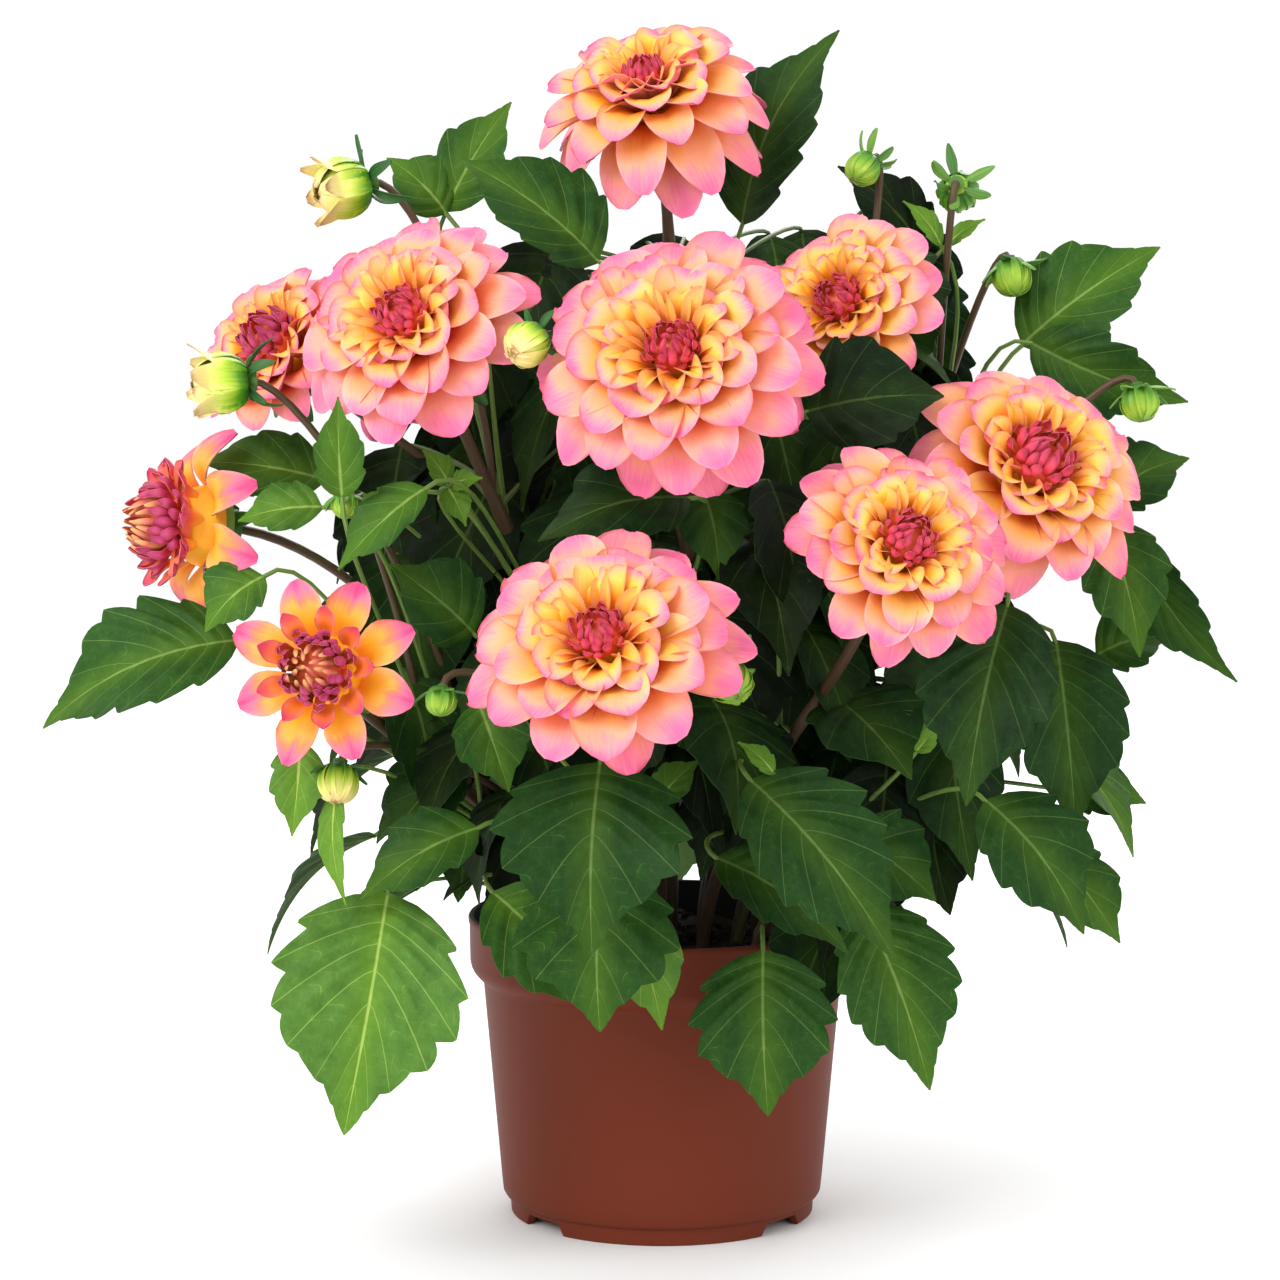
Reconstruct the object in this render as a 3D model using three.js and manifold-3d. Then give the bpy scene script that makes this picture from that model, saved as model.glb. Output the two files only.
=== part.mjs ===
// Potted dahlia: a bushy garden dahlia with double blooms, buds and toothed leaves in a plastic nursery pot.
// Millimetres, +Z up, the origin on the pot's axis in the plane that the pot stands on, the front towards -Y.
import * as THREE from "three";
import { mergeVertices } from "three/addons/utils/BufferGeometryUtils.js";
import Module from "manifold-3d";

const wasm = await Module();
wasm.setup();
const { Manifold, Mesh } = wasm;
const { Vector2, Vector3 } = THREE;
const { degToRad, lerp } = THREE.MathUtils;
const vec = (x, y, z) => new Vector3(x, y, z);
const UP = vec(0, 0, 1);
const TURN = 2 * Math.PI;

// Driving dimensions of the pot and its soil
const RIM_RADIUS = 85;
const POT_HEIGHT = 132;
const LIP_HEIGHT = 2.6;
const LIP_WIDTH = 2.6;
const BAND_BOTTOM = 104.5;
const BAND_EDGE = 111.5;
const BAND_TAPER = 0.8;
const BODY_TOP_RADIUS = 78.4;
const BODY_FOOT_RADIUS = 70.5;
const FOOT_RADIUS = 67;
const FOOT_HEIGHT = 7.5;
const FOOT_WIDTH = 4;
const WALL = 1.8;
const FLOOR_UNDER = 5.5;
const FLOOR_TOP = 7.5;
const BOSS_RADIUS = 9;
const POT_SEGMENTS = 24;
const NOTCH_ANGLES = [52, 128, 232, 308];
const NOTCH_WIDTH = 24;
const NOTCH_HEIGHT = 5.2;
const DRAIN_RADIUS = 5;
const DRAIN_CIRCLE = 48;
const SOIL_TOP = 119;
const SOIL_BUMP = 1.6;
const STEM_DEPTH = 10;
const HOLE_MARGIN = 3.4;
const GAP = 0.3;

// Driving dimensions of the plant
const STEM_RADIUS = 2.9;
const BRANCH_RADIUS = 2;
const STALK_RADIUS = 1.6;
const PETIOLE_RADIUS = 0.9;
const LEAF_THICKNESS = 0.9;
const TEETH_WIDTHS = [0, 28, 46, 66];
const PETAL_THICKNESS = 0.8;
const CLEARANCE = 0.6;
const SHORTEST_EDGE = 0.02;

// A leaf's blade, in shares of its length: how the outline swells, where its teeth stand and how deep they are
// cut, and how far it arches along its rib and folds up from it
const BLADE = {
  skew: 0.75, round: 0.85, shoulder: 0.1, toothed: 0.82, lean: 0.75, notch: 0.045, cut: 0.74, arch: 0.11, fold: 0.22,
};

// The photograph's view. What shows there is placed by its picture point and its depth, which is its y.
const VIEW = { side: -9.7, distance: 1700, height: 447, pitch: degToRad(6.53), focal: 3930, middle: 640 };
const TO_VIEWER = vec(0, -0.76, 0.65);

// Main stems: where each leaves the soil, how far it bows out on its way, and the end of those with no bloom
const STEMS = {
  top: { foot: [4, 6], bow: [0, 18] },
  left: { foot: [-17, 2], bow: [-6, 10] },
  centre: { foot: [-2, -10], bow: [0, 6] },
  rear_right: { foot: [19, 8], bow: [14, 14] },
  right: { foot: [32, -6], bow: [16, 6] },
  mid_right: { foot: [17, -21], bow: [10, 0] },
  low: { foot: [-4, -34], bow: [-6, 0] },
  low_left: { foot: [-30, -20], bow: [-16, 0] },
  back_left: { foot: [-20, 24], bow: [-10, 6] },
  back_right: { foot: [18, 30], bow: [8, 8] },
  back: { foot: [0, 46], bow: [0, 6] },
  leafy_left: { foot: [-44, -2], bow: [0, 0], end: [-92, -44, 176], lean: [-62, 20] },
  leafy_right: { foot: [40, -32], bow: [0, 0], end: [98, -58, 190], lean: [62, 30] },
  leafy_side: { foot: [42, 22], bow: [0, 0], end: [132, 34, 300], lean: [84, 40] },
};
const STEM_STEP = 45;
const FEWEST_STEPS = 6;
const NECK = 56;
const BUD_NECK = 22;

// Blooms: the centre of each, the way it faces, its form and its closed heart's share of the radius
const BLOOMS = {
  top: { pixel: [651, 100], depth: -30, radius: 49.5, turn: -22, tilt: 56, form: "dome", eye: 0.22 },
  left: { pixel: [415, 330], depth: -118, radius: 52, turn: -28, tilt: 32, form: "full", eye: 0.24 },
  centre: { pixel: [678, 364], depth: -150, radius: 57, turn: -12, tilt: 31, form: "ball", eye: 0.22 },
  rear_right: { pixel: [848, 308], depth: -70, radius: 42, turn: -28, tilt: 24, form: "full", eye: 0.27 },
  right: { pixel: [1028, 476], depth: -100, radius: 54, turn: 24, tilt: 36, form: "full", eye: 0.3 },
  mid_right: { pixel: [898, 552], depth: -160, radius: 47, turn: 20, tilt: 30, form: "full", eye: 0.27 },
  low: { pixel: [606, 652], depth: -182, radius: 55, turn: -16, tilt: 38, form: "full", eye: 0.23 },
  low_left: { pixel: [325, 670], depth: -135, radius: 39.5, turn: -14, tilt: 10, form: "young", eye: 0.42 },
  far_left: { pixel: [192, 525], depth: -60, radius: 40, turn: -62, tilt: 6, form: "young", eye: 0.5 },
  rear_left: { pixel: [284, 352], depth: -50, radius: 42, turn: -42, tilt: 34, form: "open", eye: 0.34 },
  back_left: { at: [-112, 112, 372], radius: 47, turn: -146, tilt: 34, form: "open", eye: 0.27 },
  back_right: { at: [104, 138, 318], radius: 50, turn: 146, tilt: 28, form: "open", eye: 0.25 },
  back: { at: [-18, 168, 262], radius: 46, turn: 184, tilt: 24, form: "open", eye: 0.28 },
};

// Petal tiers from the heart outwards: how many petals, then the tip's distance and height, the root's height
// and the arch, all in shares of the bloom's radius
const TIERS = {
  dome: [
    { count: 6, reach: 0.48, rise: 0.36, root: 0.06, arch: 0.06 },
    { count: 7, reach: 0.76, rise: 0.24, root: -0.01, arch: 0.12 },
    { count: 8, reach: 0.97, rise: -0.02, root: -0.08, arch: 0.17 },
    { count: 9, reach: 1.0, rise: -0.42, root: -0.15, arch: 0.2 },
    { count: 8, reach: 0.84, rise: -0.78, root: -0.22, arch: 0.2 },
  ],
  ball: [
    { count: 6, reach: 0.5, rise: 0.36, root: 0.06, arch: 0.06 },
    { count: 7, reach: 0.76, rise: 0.28, root: -0.01, arch: 0.12 },
    { count: 8, reach: 0.95, rise: 0.12, root: -0.08, arch: 0.16 },
    { count: 9, reach: 1.0, rise: -0.2, root: -0.15, arch: 0.18 },
    { count: 8, reach: 0.8, rise: -0.48, root: -0.22, arch: 0.16 },
  ],
  full: [
    { count: 6, reach: 0.52, rise: 0.33, root: 0.05, arch: 0.06 },
    { count: 7, reach: 0.78, rise: 0.22, root: -0.03, arch: 0.11 },
    { count: 8, reach: 0.95, rise: 0.04, root: -0.1, arch: 0.14 },
    { count: 9, reach: 1.0, rise: -0.24, root: -0.18, arch: 0.16 },
  ],
  open: [
    { count: 6, reach: 0.62, rise: 0.32, root: 0.04, arch: 0.06 },
    { count: 8, reach: 0.9, rise: 0.14, root: -0.06, arch: 0.12 },
    { count: 8, reach: 1.0, rise: -0.16, root: -0.16, arch: 0.15 },
  ],
  young: [
    { count: 7, reach: 0.72, rise: 0.26, root: 0.02, arch: 0.04 },
    { count: 8, reach: 1.0, rise: -0.02, root: -0.12, arch: 0.1 },
  ],
};
const CORE_TOP = 0.19;
const CORE_BOTTOM = -0.32;
const CORE_MARGIN = 2.2;
const CORE_BACK = 0.6;
// A petal's corners: share of its length, place across its pitch and lift in shares of the bloom's radius
const PETAL_LOBE = [[0, -0.5, 0], [0.5, -0.5, -0.02], [0.97, -0.25, 0.02], [0.97, 0.25, 0.02]];

// Blooms that grow on a side branch of a stem, at a share of its length
const BRANCHES = {
  rear_left: { stem: "left", from: 0.5 },
  far_left: { stem: "low_left", from: 0.45 },
};

// Fat yellow-green buds, each on a stalk from a stem
const BUDS = {
  upper_left: { stem: "left", from: 0.72, pixel: [344, 188], depth: -70, radius: 11, turn: -70, tilt: -12 },
  left: { stem: "low_left", from: 0.5, pixel: [222, 383], depth: -112, radius: 11, turn: -78, tilt: -4 },
  heart: { stem: "centre", from: 0.62, pixel: [527, 344], depth: -150, radius: 8, turn: -40, tilt: -20 },
  low_left: { stem: "low_left", from: 0.3, pixel: [338, 782], depth: -118, radius: 7.5, turn: -10, tilt: -60 },
};

// Small green buds, which are one with their stem
const GREEN_BUDS = [
  { stem: "rear_right", from: 0.6, pixel: [862, 170], depth: -16, radius: 6.5, turn: -50, tilt: -40 },
  { stem: "leafy_side", from: 0.9, pixel: [958, 192], depth: 4, radius: 8, turn: 170, tilt: -24 },
  { stem: "leafy_side", from: 0.8, pixel: [1012, 278], depth: -12, radius: 7.5, turn: 20, tilt: -66 },
  { stem: "right", from: 0.72, pixel: [1140, 404], depth: -62, radius: 7, turn: 30, tilt: -70 },
  { stem: "low", from: 0.66, pixel: [732, 684], depth: -150, radius: 7.5, turn: 20, tilt: -30 },
  { stem: "low", from: 0.5, pixel: [441, 702], depth: -140, radius: 5.5, turn: -20, tilt: -70 },
  { stem: "low_left", from: 0.62, pixel: [345, 506], depth: -108, radius: 5, turn: 0, tilt: -80 },
];

// Leaves that show in the photograph: picture points of the blade's base and tip, their depths, and the width
const LEAVES = [
  { stem: "low", from: 0.42, base: [600, 762], tip: [592, 955], depths: [-160, -182], width: 72 },
  { stem: "low", from: 0.3, base: [602, 872], tip: [600, 1032], depths: [-136, -146], width: 62 },
  { stem: "low", from: 0.2, base: [618, 905], tip: [662, 1030], depths: [-112, -116], width: 30 },
  { stem: "leafy_left", from: 0.3, base: [492, 892], tip: [590, 1016], depths: [-112, -122], width: 44 },
  { stem: "leafy_right", from: 0.2, base: [763, 950], tip: [768, 1116], depths: [-102, -106], width: 56 },
  { stem: "mid_right", from: 0.42, base: [750, 780], tip: [894, 958], depths: [-150, -166], width: 54 },
  { stem: "mid_right", from: 0.3, base: [716, 858], tip: [848, 953], depths: [-116, -124], width: 32 },
  { stem: "leafy_right", from: 0.42, base: [862, 905], tip: [930, 1090], depths: [-104, -116], width: 48 },
  { stem: "leafy_right", from: 0.55, base: [845, 836], tip: [936, 901], depths: [-100, -102], width: 40 },
  { stem: "leafy_right", from: 0.95, base: [1008, 604], tip: [966, 806], depths: [-132, -150], width: 52 },
  { stem: "right", from: 0.45, base: [1056, 640], tip: [1076, 834], depths: [-84, -100], width: 48 },
  { stem: "leafy_right", from: 0.9, base: [985, 800], tip: [1084, 934], depths: [-112, -122], width: 44 },
  { stem: "leafy_right", from: 0.7, base: [1050, 850], tip: [1120, 943], depths: [-72, -78], width: 30 },
  { stem: "right", from: 0.35, base: [1062, 790], tip: [1146, 803], depths: [-50, -46], width: 28 },
  { stem: "right", from: 0.66, base: [1100, 520], tip: [1140, 657], depths: [-70, -84], width: 36 },
  { stem: "right", from: 0.6, base: [1122, 526], tip: [1237, 682], depths: [-40, -50], width: 26, roll: 48 },
  { stem: "leafy_side", from: 0.62, base: [1104, 502], tip: [1189, 458], depths: [-34, -30], width: 34 },
  { stem: "right", from: 0.5, base: [1096, 656], tip: [1170, 637], depths: [-44, -40], width: 30 },
  { stem: "leafy_side", from: 0.9, base: [1022, 345], tip: [1160, 247], depths: [-6, 2], width: 46 },
  { stem: "leafy_side", from: 0.84, base: [1030, 342], tip: [1188, 402], depths: [-34, -40], width: 34,
    roll: 42 },
  { stem: "rear_right", from: 0.7, base: [806, 412], tip: [944, 396], depths: [-98, -94], width: 52 },
  { stem: "centre", from: 0.5, base: [690, 498], tip: [538, 541], depths: [-122, -132], width: 40 },
  { stem: "low_left", from: 0.56, base: [342, 498], tip: [338, 397], depths: [-128, -130], width: 20 },
  { stem: "low_left", from: 0.5, base: [322, 507], tip: [238, 521], depths: [-96, -90], width: 24 },
  { stem: "left", from: 0.4, base: [325, 480], tip: [200, 462], depths: [-64, -58], width: 32 },
  { stem: "left", from: 0.46, base: [426, 488], tip: [338, 570], depths: [-118, -122], width: 24 },
  { stem: "left", from: 0.3, base: [474, 634], tip: [390, 564], depths: [-104, -108], width: 38 },
  { stem: "low_left", from: 0.38, base: [238, 640], tip: [43, 728], depths: [-66, -54], width: 56 },
  { stem: "low_left", from: 0.44, base: [264, 576], tip: [205, 632], depths: [-76, -80], width: 30 },
  { stem: "leafy_left", from: 0.96, base: [388, 892], tip: [344, 1135], depths: [-104, -122], width: 76 },
  { stem: "leafy_left", from: 0.7, base: [478, 828], tip: [360, 900], depths: [-112, -118], width: 32 },
  { stem: "leafy_left", from: 0.86, base: [458, 758], tip: [388, 840], depths: [-88, -96], width: 34 },
  { stem: "low", from: 0.36, base: [478, 702], tip: [509, 792], depths: [-142, -150], width: 30 },
  { stem: "rear_right", from: 0.62, base: [742, 224], tip: [839, 30], depths: [-24, -14], width: 46 },
  { stem: "top", from: 0.72, base: [598, 262], tip: [460, 160], depths: [-44, -40], width: 50 },
  { stem: "left", from: 0.7, base: [446, 211], tip: [511, 102], depths: [-22, -14], width: 30 },
  { stem: "left", from: 0.66, base: [446, 213], tip: [387, 158], depths: [-26, -22], width: 28 },
  { stem: "rear_right", from: 0.56, base: [926, 258], tip: [838, 166], depths: [6, 12], width: 30 },
];

// Leaves at the sides and the back: the way each hangs out, and its base's height and distance from the axis
const HIDDEN_LEAVES = [
  { stem: "back_left", from: 0.3, turn: 205, height: 190, out: 118, length: 76, width: 45 },
  { stem: "back_left", from: 0.4, turn: 238, height: 236, out: 132, length: 72, width: 45 },
  { stem: "back_left", from: 0.52, turn: 262, height: 276, out: 128, length: 66, width: 42 },
  { stem: "back_left", from: 0.62, turn: 212, height: 312, out: 120, length: 66, width: 42 },
  { stem: "back_right", from: 0.3, turn: 148, height: 182, out: 122, length: 78, width: 52 },
  { stem: "back_right", from: 0.42, turn: 116, height: 234, out: 134, length: 72, width: 45 },
  { stem: "back_right", from: 0.54, turn: 160, height: 272, out: 118, length: 66, width: 42 },
  { stem: "back_right", from: 0.64, turn: 128, height: 318, out: 122, length: 66, width: 42 },
  { stem: "back", from: 0.26, turn: 178, height: 168, out: 124, length: 80, width: 56 },
  { stem: "back", from: 0.4, turn: 222, height: 176, out: 132, length: 74, width: 45 },
  { stem: "back", from: 0.5, turn: 190, height: 214, out: 140, length: 66, width: 44 },
  { stem: "top", from: 0.55, turn: 180, height: 352, out: 92, length: 72, width: 45 },
  { stem: "top", from: 0.66, turn: 150, height: 398, out: 66, length: 66, width: 42 },
  { stem: "top", from: 0.6, turn: 232, height: 402, out: 70, length: 64, width: 40 },
  { stem: "leafy_side", from: 0.34, turn: 92, height: 172, out: 128, length: 76, width: 45 },
  { stem: "leafy_side", from: 0.5, turn: 70, height: 208, out: 146, length: 66, width: 42 },
  { stem: "leafy_left", from: 0.5, turn: 268, height: 166, out: 126, length: 72, width: 45 },
  { stem: "leafy_side", from: 0.7, turn: 122, height: 300, out: 104, length: 62, width: 40 },
  { stem: "rear_right", from: 0.52, turn: 140, height: 352, out: 84, length: 62, width: 40 },
  { stem: "leafy_left", from: 0.42, turn: 290, height: 150, out: 112, length: 66, width: 44 },
  { stem: "low_left", from: 0.26, turn: 256, height: 200, out: 118, length: 66, width: 44 },
  { stem: "left", from: 0.5, turn: 250, height: 300, out: 104, length: 60, width: 40 },
  { stem: "back", from: 0.34, turn: 158, height: 158, out: 118, length: 66, width: 44 },
  { stem: "back_left", from: 0.46, turn: 222, height: 262, out: 92, length: 64, width: 42 },
  { stem: "back_right", from: 0.48, turn: 136, height: 224, out: 104, length: 66, width: 44 },
  { stem: "back_right", from: 0.72, turn: 104, height: 348, out: 92, length: 60, width: 40 },
  { stem: "top", from: 0.5, turn: 200, height: 366, out: 56, length: 64, width: 42 },
];
const HANG = degToRad(48);

// How far a leaf may be bent from its place, towards the front or outwards, to clear its neighbours
const BENDS = [0, 5, -5, 10, -10, 15, -15, 20, -20, 26, -26, 32, -32, 40, -40];
const BEND_TO_SHARE = 0.006;
const BEND_TO_ROLL = 0.5;

// The point at a depth that lies behind a picture point
function seen([u, v], y) {
  const right = (u - VIEW.middle) / VIEW.focal;
  const rise = (VIEW.middle - v) / VIEW.focal;
  const [c, s] = [Math.cos(VIEW.pitch), Math.sin(VIEW.pitch)];
  const ray = vec(right, c + rise * s, rise * c - s);
  return vec(VIEW.side, -VIEW.distance, VIEW.height).addScaledVector(ray, (y + VIEW.distance) / ray.y);
}

// Degrees: turn is from the front towards +X, tilt is above the horizon
function facing(turn, tilt) {
  const [a, e] = [degToRad(turn), degToRad(tilt)];
  return vec(Math.sin(a) * Math.cos(e), -Math.cos(a) * Math.cos(e), Math.sin(e));
}

const centreOf = ({ at, pixel, depth }) => (at ? vec(...at) : seen(pixel, depth));

function shellOf(points, faces) {
  const geometry = new THREE.BufferGeometry().setFromPoints(points);
  geometry.setIndex(faces.flat());
  return geometry;
}

// A three.js geometry as a solid with its faces outwards
function solid(geometry) {
  const bare = geometry.clone();
  bare.deleteAttribute("normal");
  bare.deleteAttribute("uv");
  const merged = mergeVertices(bare, 1e-4);
  const vertProperties = new Float32Array(merged.attributes.position.array);
  const triVerts = new Uint32Array(merged.index.array);
  const made = () => new Manifold(new Mesh({ numProp: 3, vertProperties, triVerts }));
  if (made().volume() < 0) triVerts.reverse();
  return made();
}

const fused = (shapes) => shapes.slice(1).reduce((whole, shape) => whole.add(shape), shapes[0]);

// A bar of a given section along a curve
function tube(curve, radius, sides, steps) {
  const corners = Array.from({ length: sides }, (_, i) => (TURN * i) / sides);
  const section = new THREE.Shape(corners.map((a) => new Vector2(radius * Math.cos(a), radius * Math.sin(a))));
  return solid(new THREE.ExtrudeGeometry(section, { extrudePath: curve, steps, bevelEnabled: false }));
}

// LatheGeometry turns about +Y, and this makes that the object's Z
const lathe = (profile, segments) =>
  new THREE.LatheGeometry(profile.map(([r, z]) => new Vector2(r, z)), segments).rotateX(Math.PI / 2);

// Turns +Z to face along a direction and moves the origin to a point
function standing(shape, point, direction) {
  const turn = new THREE.Quaternion().setFromUnitVectors(UP, direction);
  return shape.transform(new THREE.Matrix4().compose(point, turn, vec(1, 1, 1)).elements);
}

// The pot: a turned wall with a flared band, a floor with a boss, and a foot ring cut into four feet
function pot() {
  const outside = [
    [0, 0], [BOSS_RADIUS, 0], [BOSS_RADIUS + 1, FLOOR_UNDER], [FOOT_RADIUS - FOOT_WIDTH - 1, FLOOR_UNDER],
    [FOOT_RADIUS - FOOT_WIDTH, 0], [FOOT_RADIUS - 0.6, 0], [FOOT_RADIUS, FOOT_HEIGHT],
    [BODY_FOOT_RADIUS - 1.2, FOOT_HEIGHT + 1.6], [BODY_FOOT_RADIUS, FOOT_HEIGHT + 7],
    [BODY_TOP_RADIUS, BAND_BOTTOM - 1], [BODY_TOP_RADIUS + 1.2, BAND_BOTTOM],
    [RIM_RADIUS - BAND_TAPER, BAND_EDGE], [RIM_RADIUS, POT_HEIGHT - LIP_HEIGHT], [RIM_RADIUS, POT_HEIGHT],
  ];
  const inside = [
    [RIM_RADIUS - LIP_WIDTH, POT_HEIGHT], [RIM_RADIUS - LIP_WIDTH - BAND_TAPER, BAND_EDGE],
    [BODY_TOP_RADIUS - WALL, BAND_BOTTOM - 1],
    [BODY_FOOT_RADIUS - 2 * WALL, FLOOR_TOP], [0, FLOOR_TOP],
  ];
  const cuts = NOTCH_ANGLES.flatMap((angle) => {
    const a = degToRad(angle);
    const notch = new THREE.BoxGeometry(5 * FOOT_WIDTH, NOTCH_WIDTH, 2 * NOTCH_HEIGHT);
    const drain = new THREE.CylinderGeometry(DRAIN_RADIUS, DRAIN_RADIUS, 4 * FLOOR_TOP, 6);
    notch.rotateZ(a - Math.PI / 2).translate(FOOT_RADIUS * Math.sin(a), -FOOT_RADIUS * Math.cos(a), 0);
    drain.rotateX(Math.PI / 2).translate(DRAIN_CIRCLE * Math.sin(a), -DRAIN_CIRCLE * Math.cos(a), 0);
    return [solid(notch), solid(drain)];
  });
  return solid(lathe([...outside, ...inside], POT_SEGMENTS)).subtract(fused(cuts));
}

// Crumbly soil that fills the pot to below its lip, with a plain hole for each stem
function soil() {
  const off = 2 * GAP;
  const [atBand, atEdge] = [BODY_TOP_RADIUS - WALL - off, RIM_RADIUS - LIP_WIDTH - BAND_TAPER - off];
  const profile = [
    [0, FLOOR_TOP + GAP], [BODY_FOOT_RADIUS - 2 * WALL - 2 * off, FLOOR_TOP + GAP], [atBand, BAND_BOTTOM - 1],
    [atEdge, BAND_EDGE + 1], [atEdge, SOIL_TOP - 1.5], [0.7 * atEdge, SOIL_TOP], [0.36 * atEdge, SOIL_TOP],
    [0, SOIL_TOP],
  ];
  const ground = lathe(profile, POT_SEGMENTS / 2);
  const place = ground.attributes.position;
  for (let i = 0; i < place.count; i++) {
    const [x, y, z] = [place.getX(i), place.getY(i), place.getZ(i)];
    if (z > SOIL_TOP - 1) place.setZ(i, z + SOIL_BUMP * Math.sin(0.21 * x + 1) * Math.cos(0.17 * y));
  }
  const radius = STEM_RADIUS + HOLE_MARGIN;
  const holes = Object.values(STEMS).map(({ foot: [x, y] }) => {
    const hole = new THREE.CylinderGeometry(radius, radius, 2 * STEM_DEPTH, 5).rotateX(Math.PI / 2);
    return solid(hole.translate(x, y, SOIL_TOP));
  });
  return solid(ground).subtract(fused(holes));
}

// A ring of points, as their numbers with the angle of each
const ringAt = (points, count, first, r, z) =>
  Array.from({ length: count }, (_, i) => {
    const angle = first + (TURN * i) / count;
    return { id: points.push(vec(r * Math.cos(angle), r * Math.sin(angle), z)) - 1, angle };
  });

// The band of triangles between a ring and one below it, whatever their numbers of points
function band(upper, lower) {
  const faces = [];
  const angleOf = (ring, i) => ring[i % ring.length].angle + TURN * Math.floor(i / ring.length);
  for (let [i, j] = [0, 0]; i < upper.length || j < lower.length; ) {
    const [a, b] = [upper[i % upper.length].id, lower[j % lower.length].id];
    if (j === lower.length || (i < upper.length && angleOf(upper, i + 1) < angleOf(lower, j + 1))) {
      faces.push([a, b, upper[++i % upper.length].id]);
    } else {
      faces.push([a, b, lower[++j % lower.length].id]);
    }
  }
  return faces;
}

// One tier of petals: a cup whose rim is cut into a broad lobe for each petal. Gives its two inner rings.
function petalTier(points, faces, { count, reach, rise, root, arch }, radius, core, turned) {
  const [h0, h1, r1] = [root * radius, rise * radius, reach * radius];
  const pitch = TURN / count;
  const slope = Math.atan2(h1 - h0, r1 - core);
  const place = (share, angle, lift, under) => {
    const r = lerp(core, r1, share) + (under ? Math.sin(slope) * PETAL_THICKNESS : 0);
    const h = lerp(h0, h1, share) + (arch * Math.sin(Math.PI * share) + lift) * radius;
    return vec(r * Math.cos(angle), r * Math.sin(angle), h - (under ? Math.cos(slope) * PETAL_THICKNESS : 0));
  };
  const rings = [false, true].map((under) => {
    const first = points.length;
    for (let i = 0; i < count; i++) {
      const a = turned + i * pitch;
      points.push(...PETAL_LOBE.map(([share, across, lift]) => place(share, a + across * pitch, lift, under)));
    }
    return Array.from({ length: count }, (_, i) => ({ id: first + 4 * i, angle: turned + (i - 0.5) * pitch }));
  });
  const below = 4 * count;
  rings[0].forEach(({ id }, i) => {
    const [notch, left, right] = [id + 1, id + 2, id + 3];
    const nextInner = rings[0][(i + 1) % count].id;
    const half = [[id, notch, left], [id, left, right], [id, right, nextInner]];
    const top = [...half, [nextInner, right, nextInner + 1]];
    faces.push(...top, ...top.map(([a, b, c]) => [a + below, c + below, b + below]));
    for (const [a, b] of [[notch, left], [left, right], [right, nextInner + 1]]) {
      faces.push([b, a, a + below], [b, a + below, b + below]);
    }
  });
  return rings;
}

// A bloom's tiers of petals on their core, all one surface, with the face of the bloom towards +Z
function petals({ radius, form, eye }) {
  const core = eye * radius + CORE_MARGIN;
  const [top, bottom] = [CORE_TOP * radius, CORE_BOTTOM * radius];
  const points = [vec(0, 0, top), vec(0, 0, bottom)];
  const faces = [];
  const seat = ringAt(points, TIERS[form][0].count, 0, core, top);
  seat.forEach(({ id }, i) => faces.push([0, id, seat[(i + 1) % seat.length].id]));
  let upper = seat;
  TIERS[form].forEach((tier, i) => {
    const [above, below] = petalTier(points, faces, tier, radius, core, (i * Math.PI) / tier.count);
    faces.push(...band(upper, above));
    upper = below;
  });
  const back = ringAt(points, upper.length, upper[0].angle, CORE_BACK * core, bottom);
  faces.push(...band(upper, back));
  back.forEach(({ id }, i) => faces.push([1, back[(i + 1) % back.length].id, id]));
  return solid(shellOf(points, faces));
}

// A head of tight florets or bud scales: a ball with a flat seat, its surface raised into rows of points
function closedHead({ radius, stretch, rows, columns, seat, relief }) {
  const low = Math.asin(seat);
  const points = [vec(0, 0, 0)];
  const foot = radius * stretch * seat;
  for (let i = 0; i < rows; i++) {
    const e = lerp(low, Math.PI / 2, i / rows);
    for (let j = 0; j < columns; j++) {
      const a = (TURN * (j + 0.5 * (i % 2))) / columns;
      const r = radius * Math.cos(e) * (1 + (j % 2 ? relief : -relief));
      points.push(vec(r * Math.cos(a), r * Math.sin(a), i ? radius * stretch * Math.sin(e) - foot : 0));
    }
  }
  const crown = points.push(vec(0, 0, radius * stretch - foot)) - 1;
  const id = (i, j) => 1 + i * columns + (j % columns);
  const faces = [];
  for (let j = 0; j < columns; j++) {
    faces.push([0, id(0, j + 1), id(0, j)], [id(rows - 1, j), id(rows - 1, j + 1), crown]);
    for (let i = 0; i + 1 < rows; i++) {
      const [a, b, c, d] = [id(i, j), id(i, j + 1), id(i + 1, j + 1), id(i + 1, j)];
      faces.push(...(i % 2 ? [[a, b, c], [a, c, d]] : [[a, b, d], [b, c, d]]));
    }
  }
  return solid(shellOf(points, faces));
}

const heartHead = ({ radius, eye }) =>
  closedHead({ radius: eye * radius - 0.8, stretch: 1.05, rows: 3, columns: 8, seat: 0, relief: 0.05 });
const BUD_STRETCH = 1.12;
const BUD_SEAT = 0.78;
const budHead = (radius, rows) =>
  closedHead({ radius, stretch: BUD_STRETCH, rows, columns: 8, seat: -BUD_SEAT, relief: 0.06 });

// A star of bracts on a fleshy base, flat in the middle of its top, with its points swept back
function bractStar(radius, depth, swept) {
  const points = [vec(0, 0, 0), vec(0, 0, -depth)];
  const faces = [];
  const count = 5;
  for (let i = 0; i < 2 * count; i++) {
    const a = (Math.PI * i) / count;
    const r = i % 2 ? 0.42 * radius : radius;
    points.push(vec(r * Math.cos(a), r * Math.sin(a), i % 2 ? 0 : -swept));
    const next = 2 + ((i + 1) % (2 * count));
    faces.push([0, 2 + i, next], [1, next, 2 + i]);
  }
  return solid(shellOf(points, faces));
}

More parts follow.
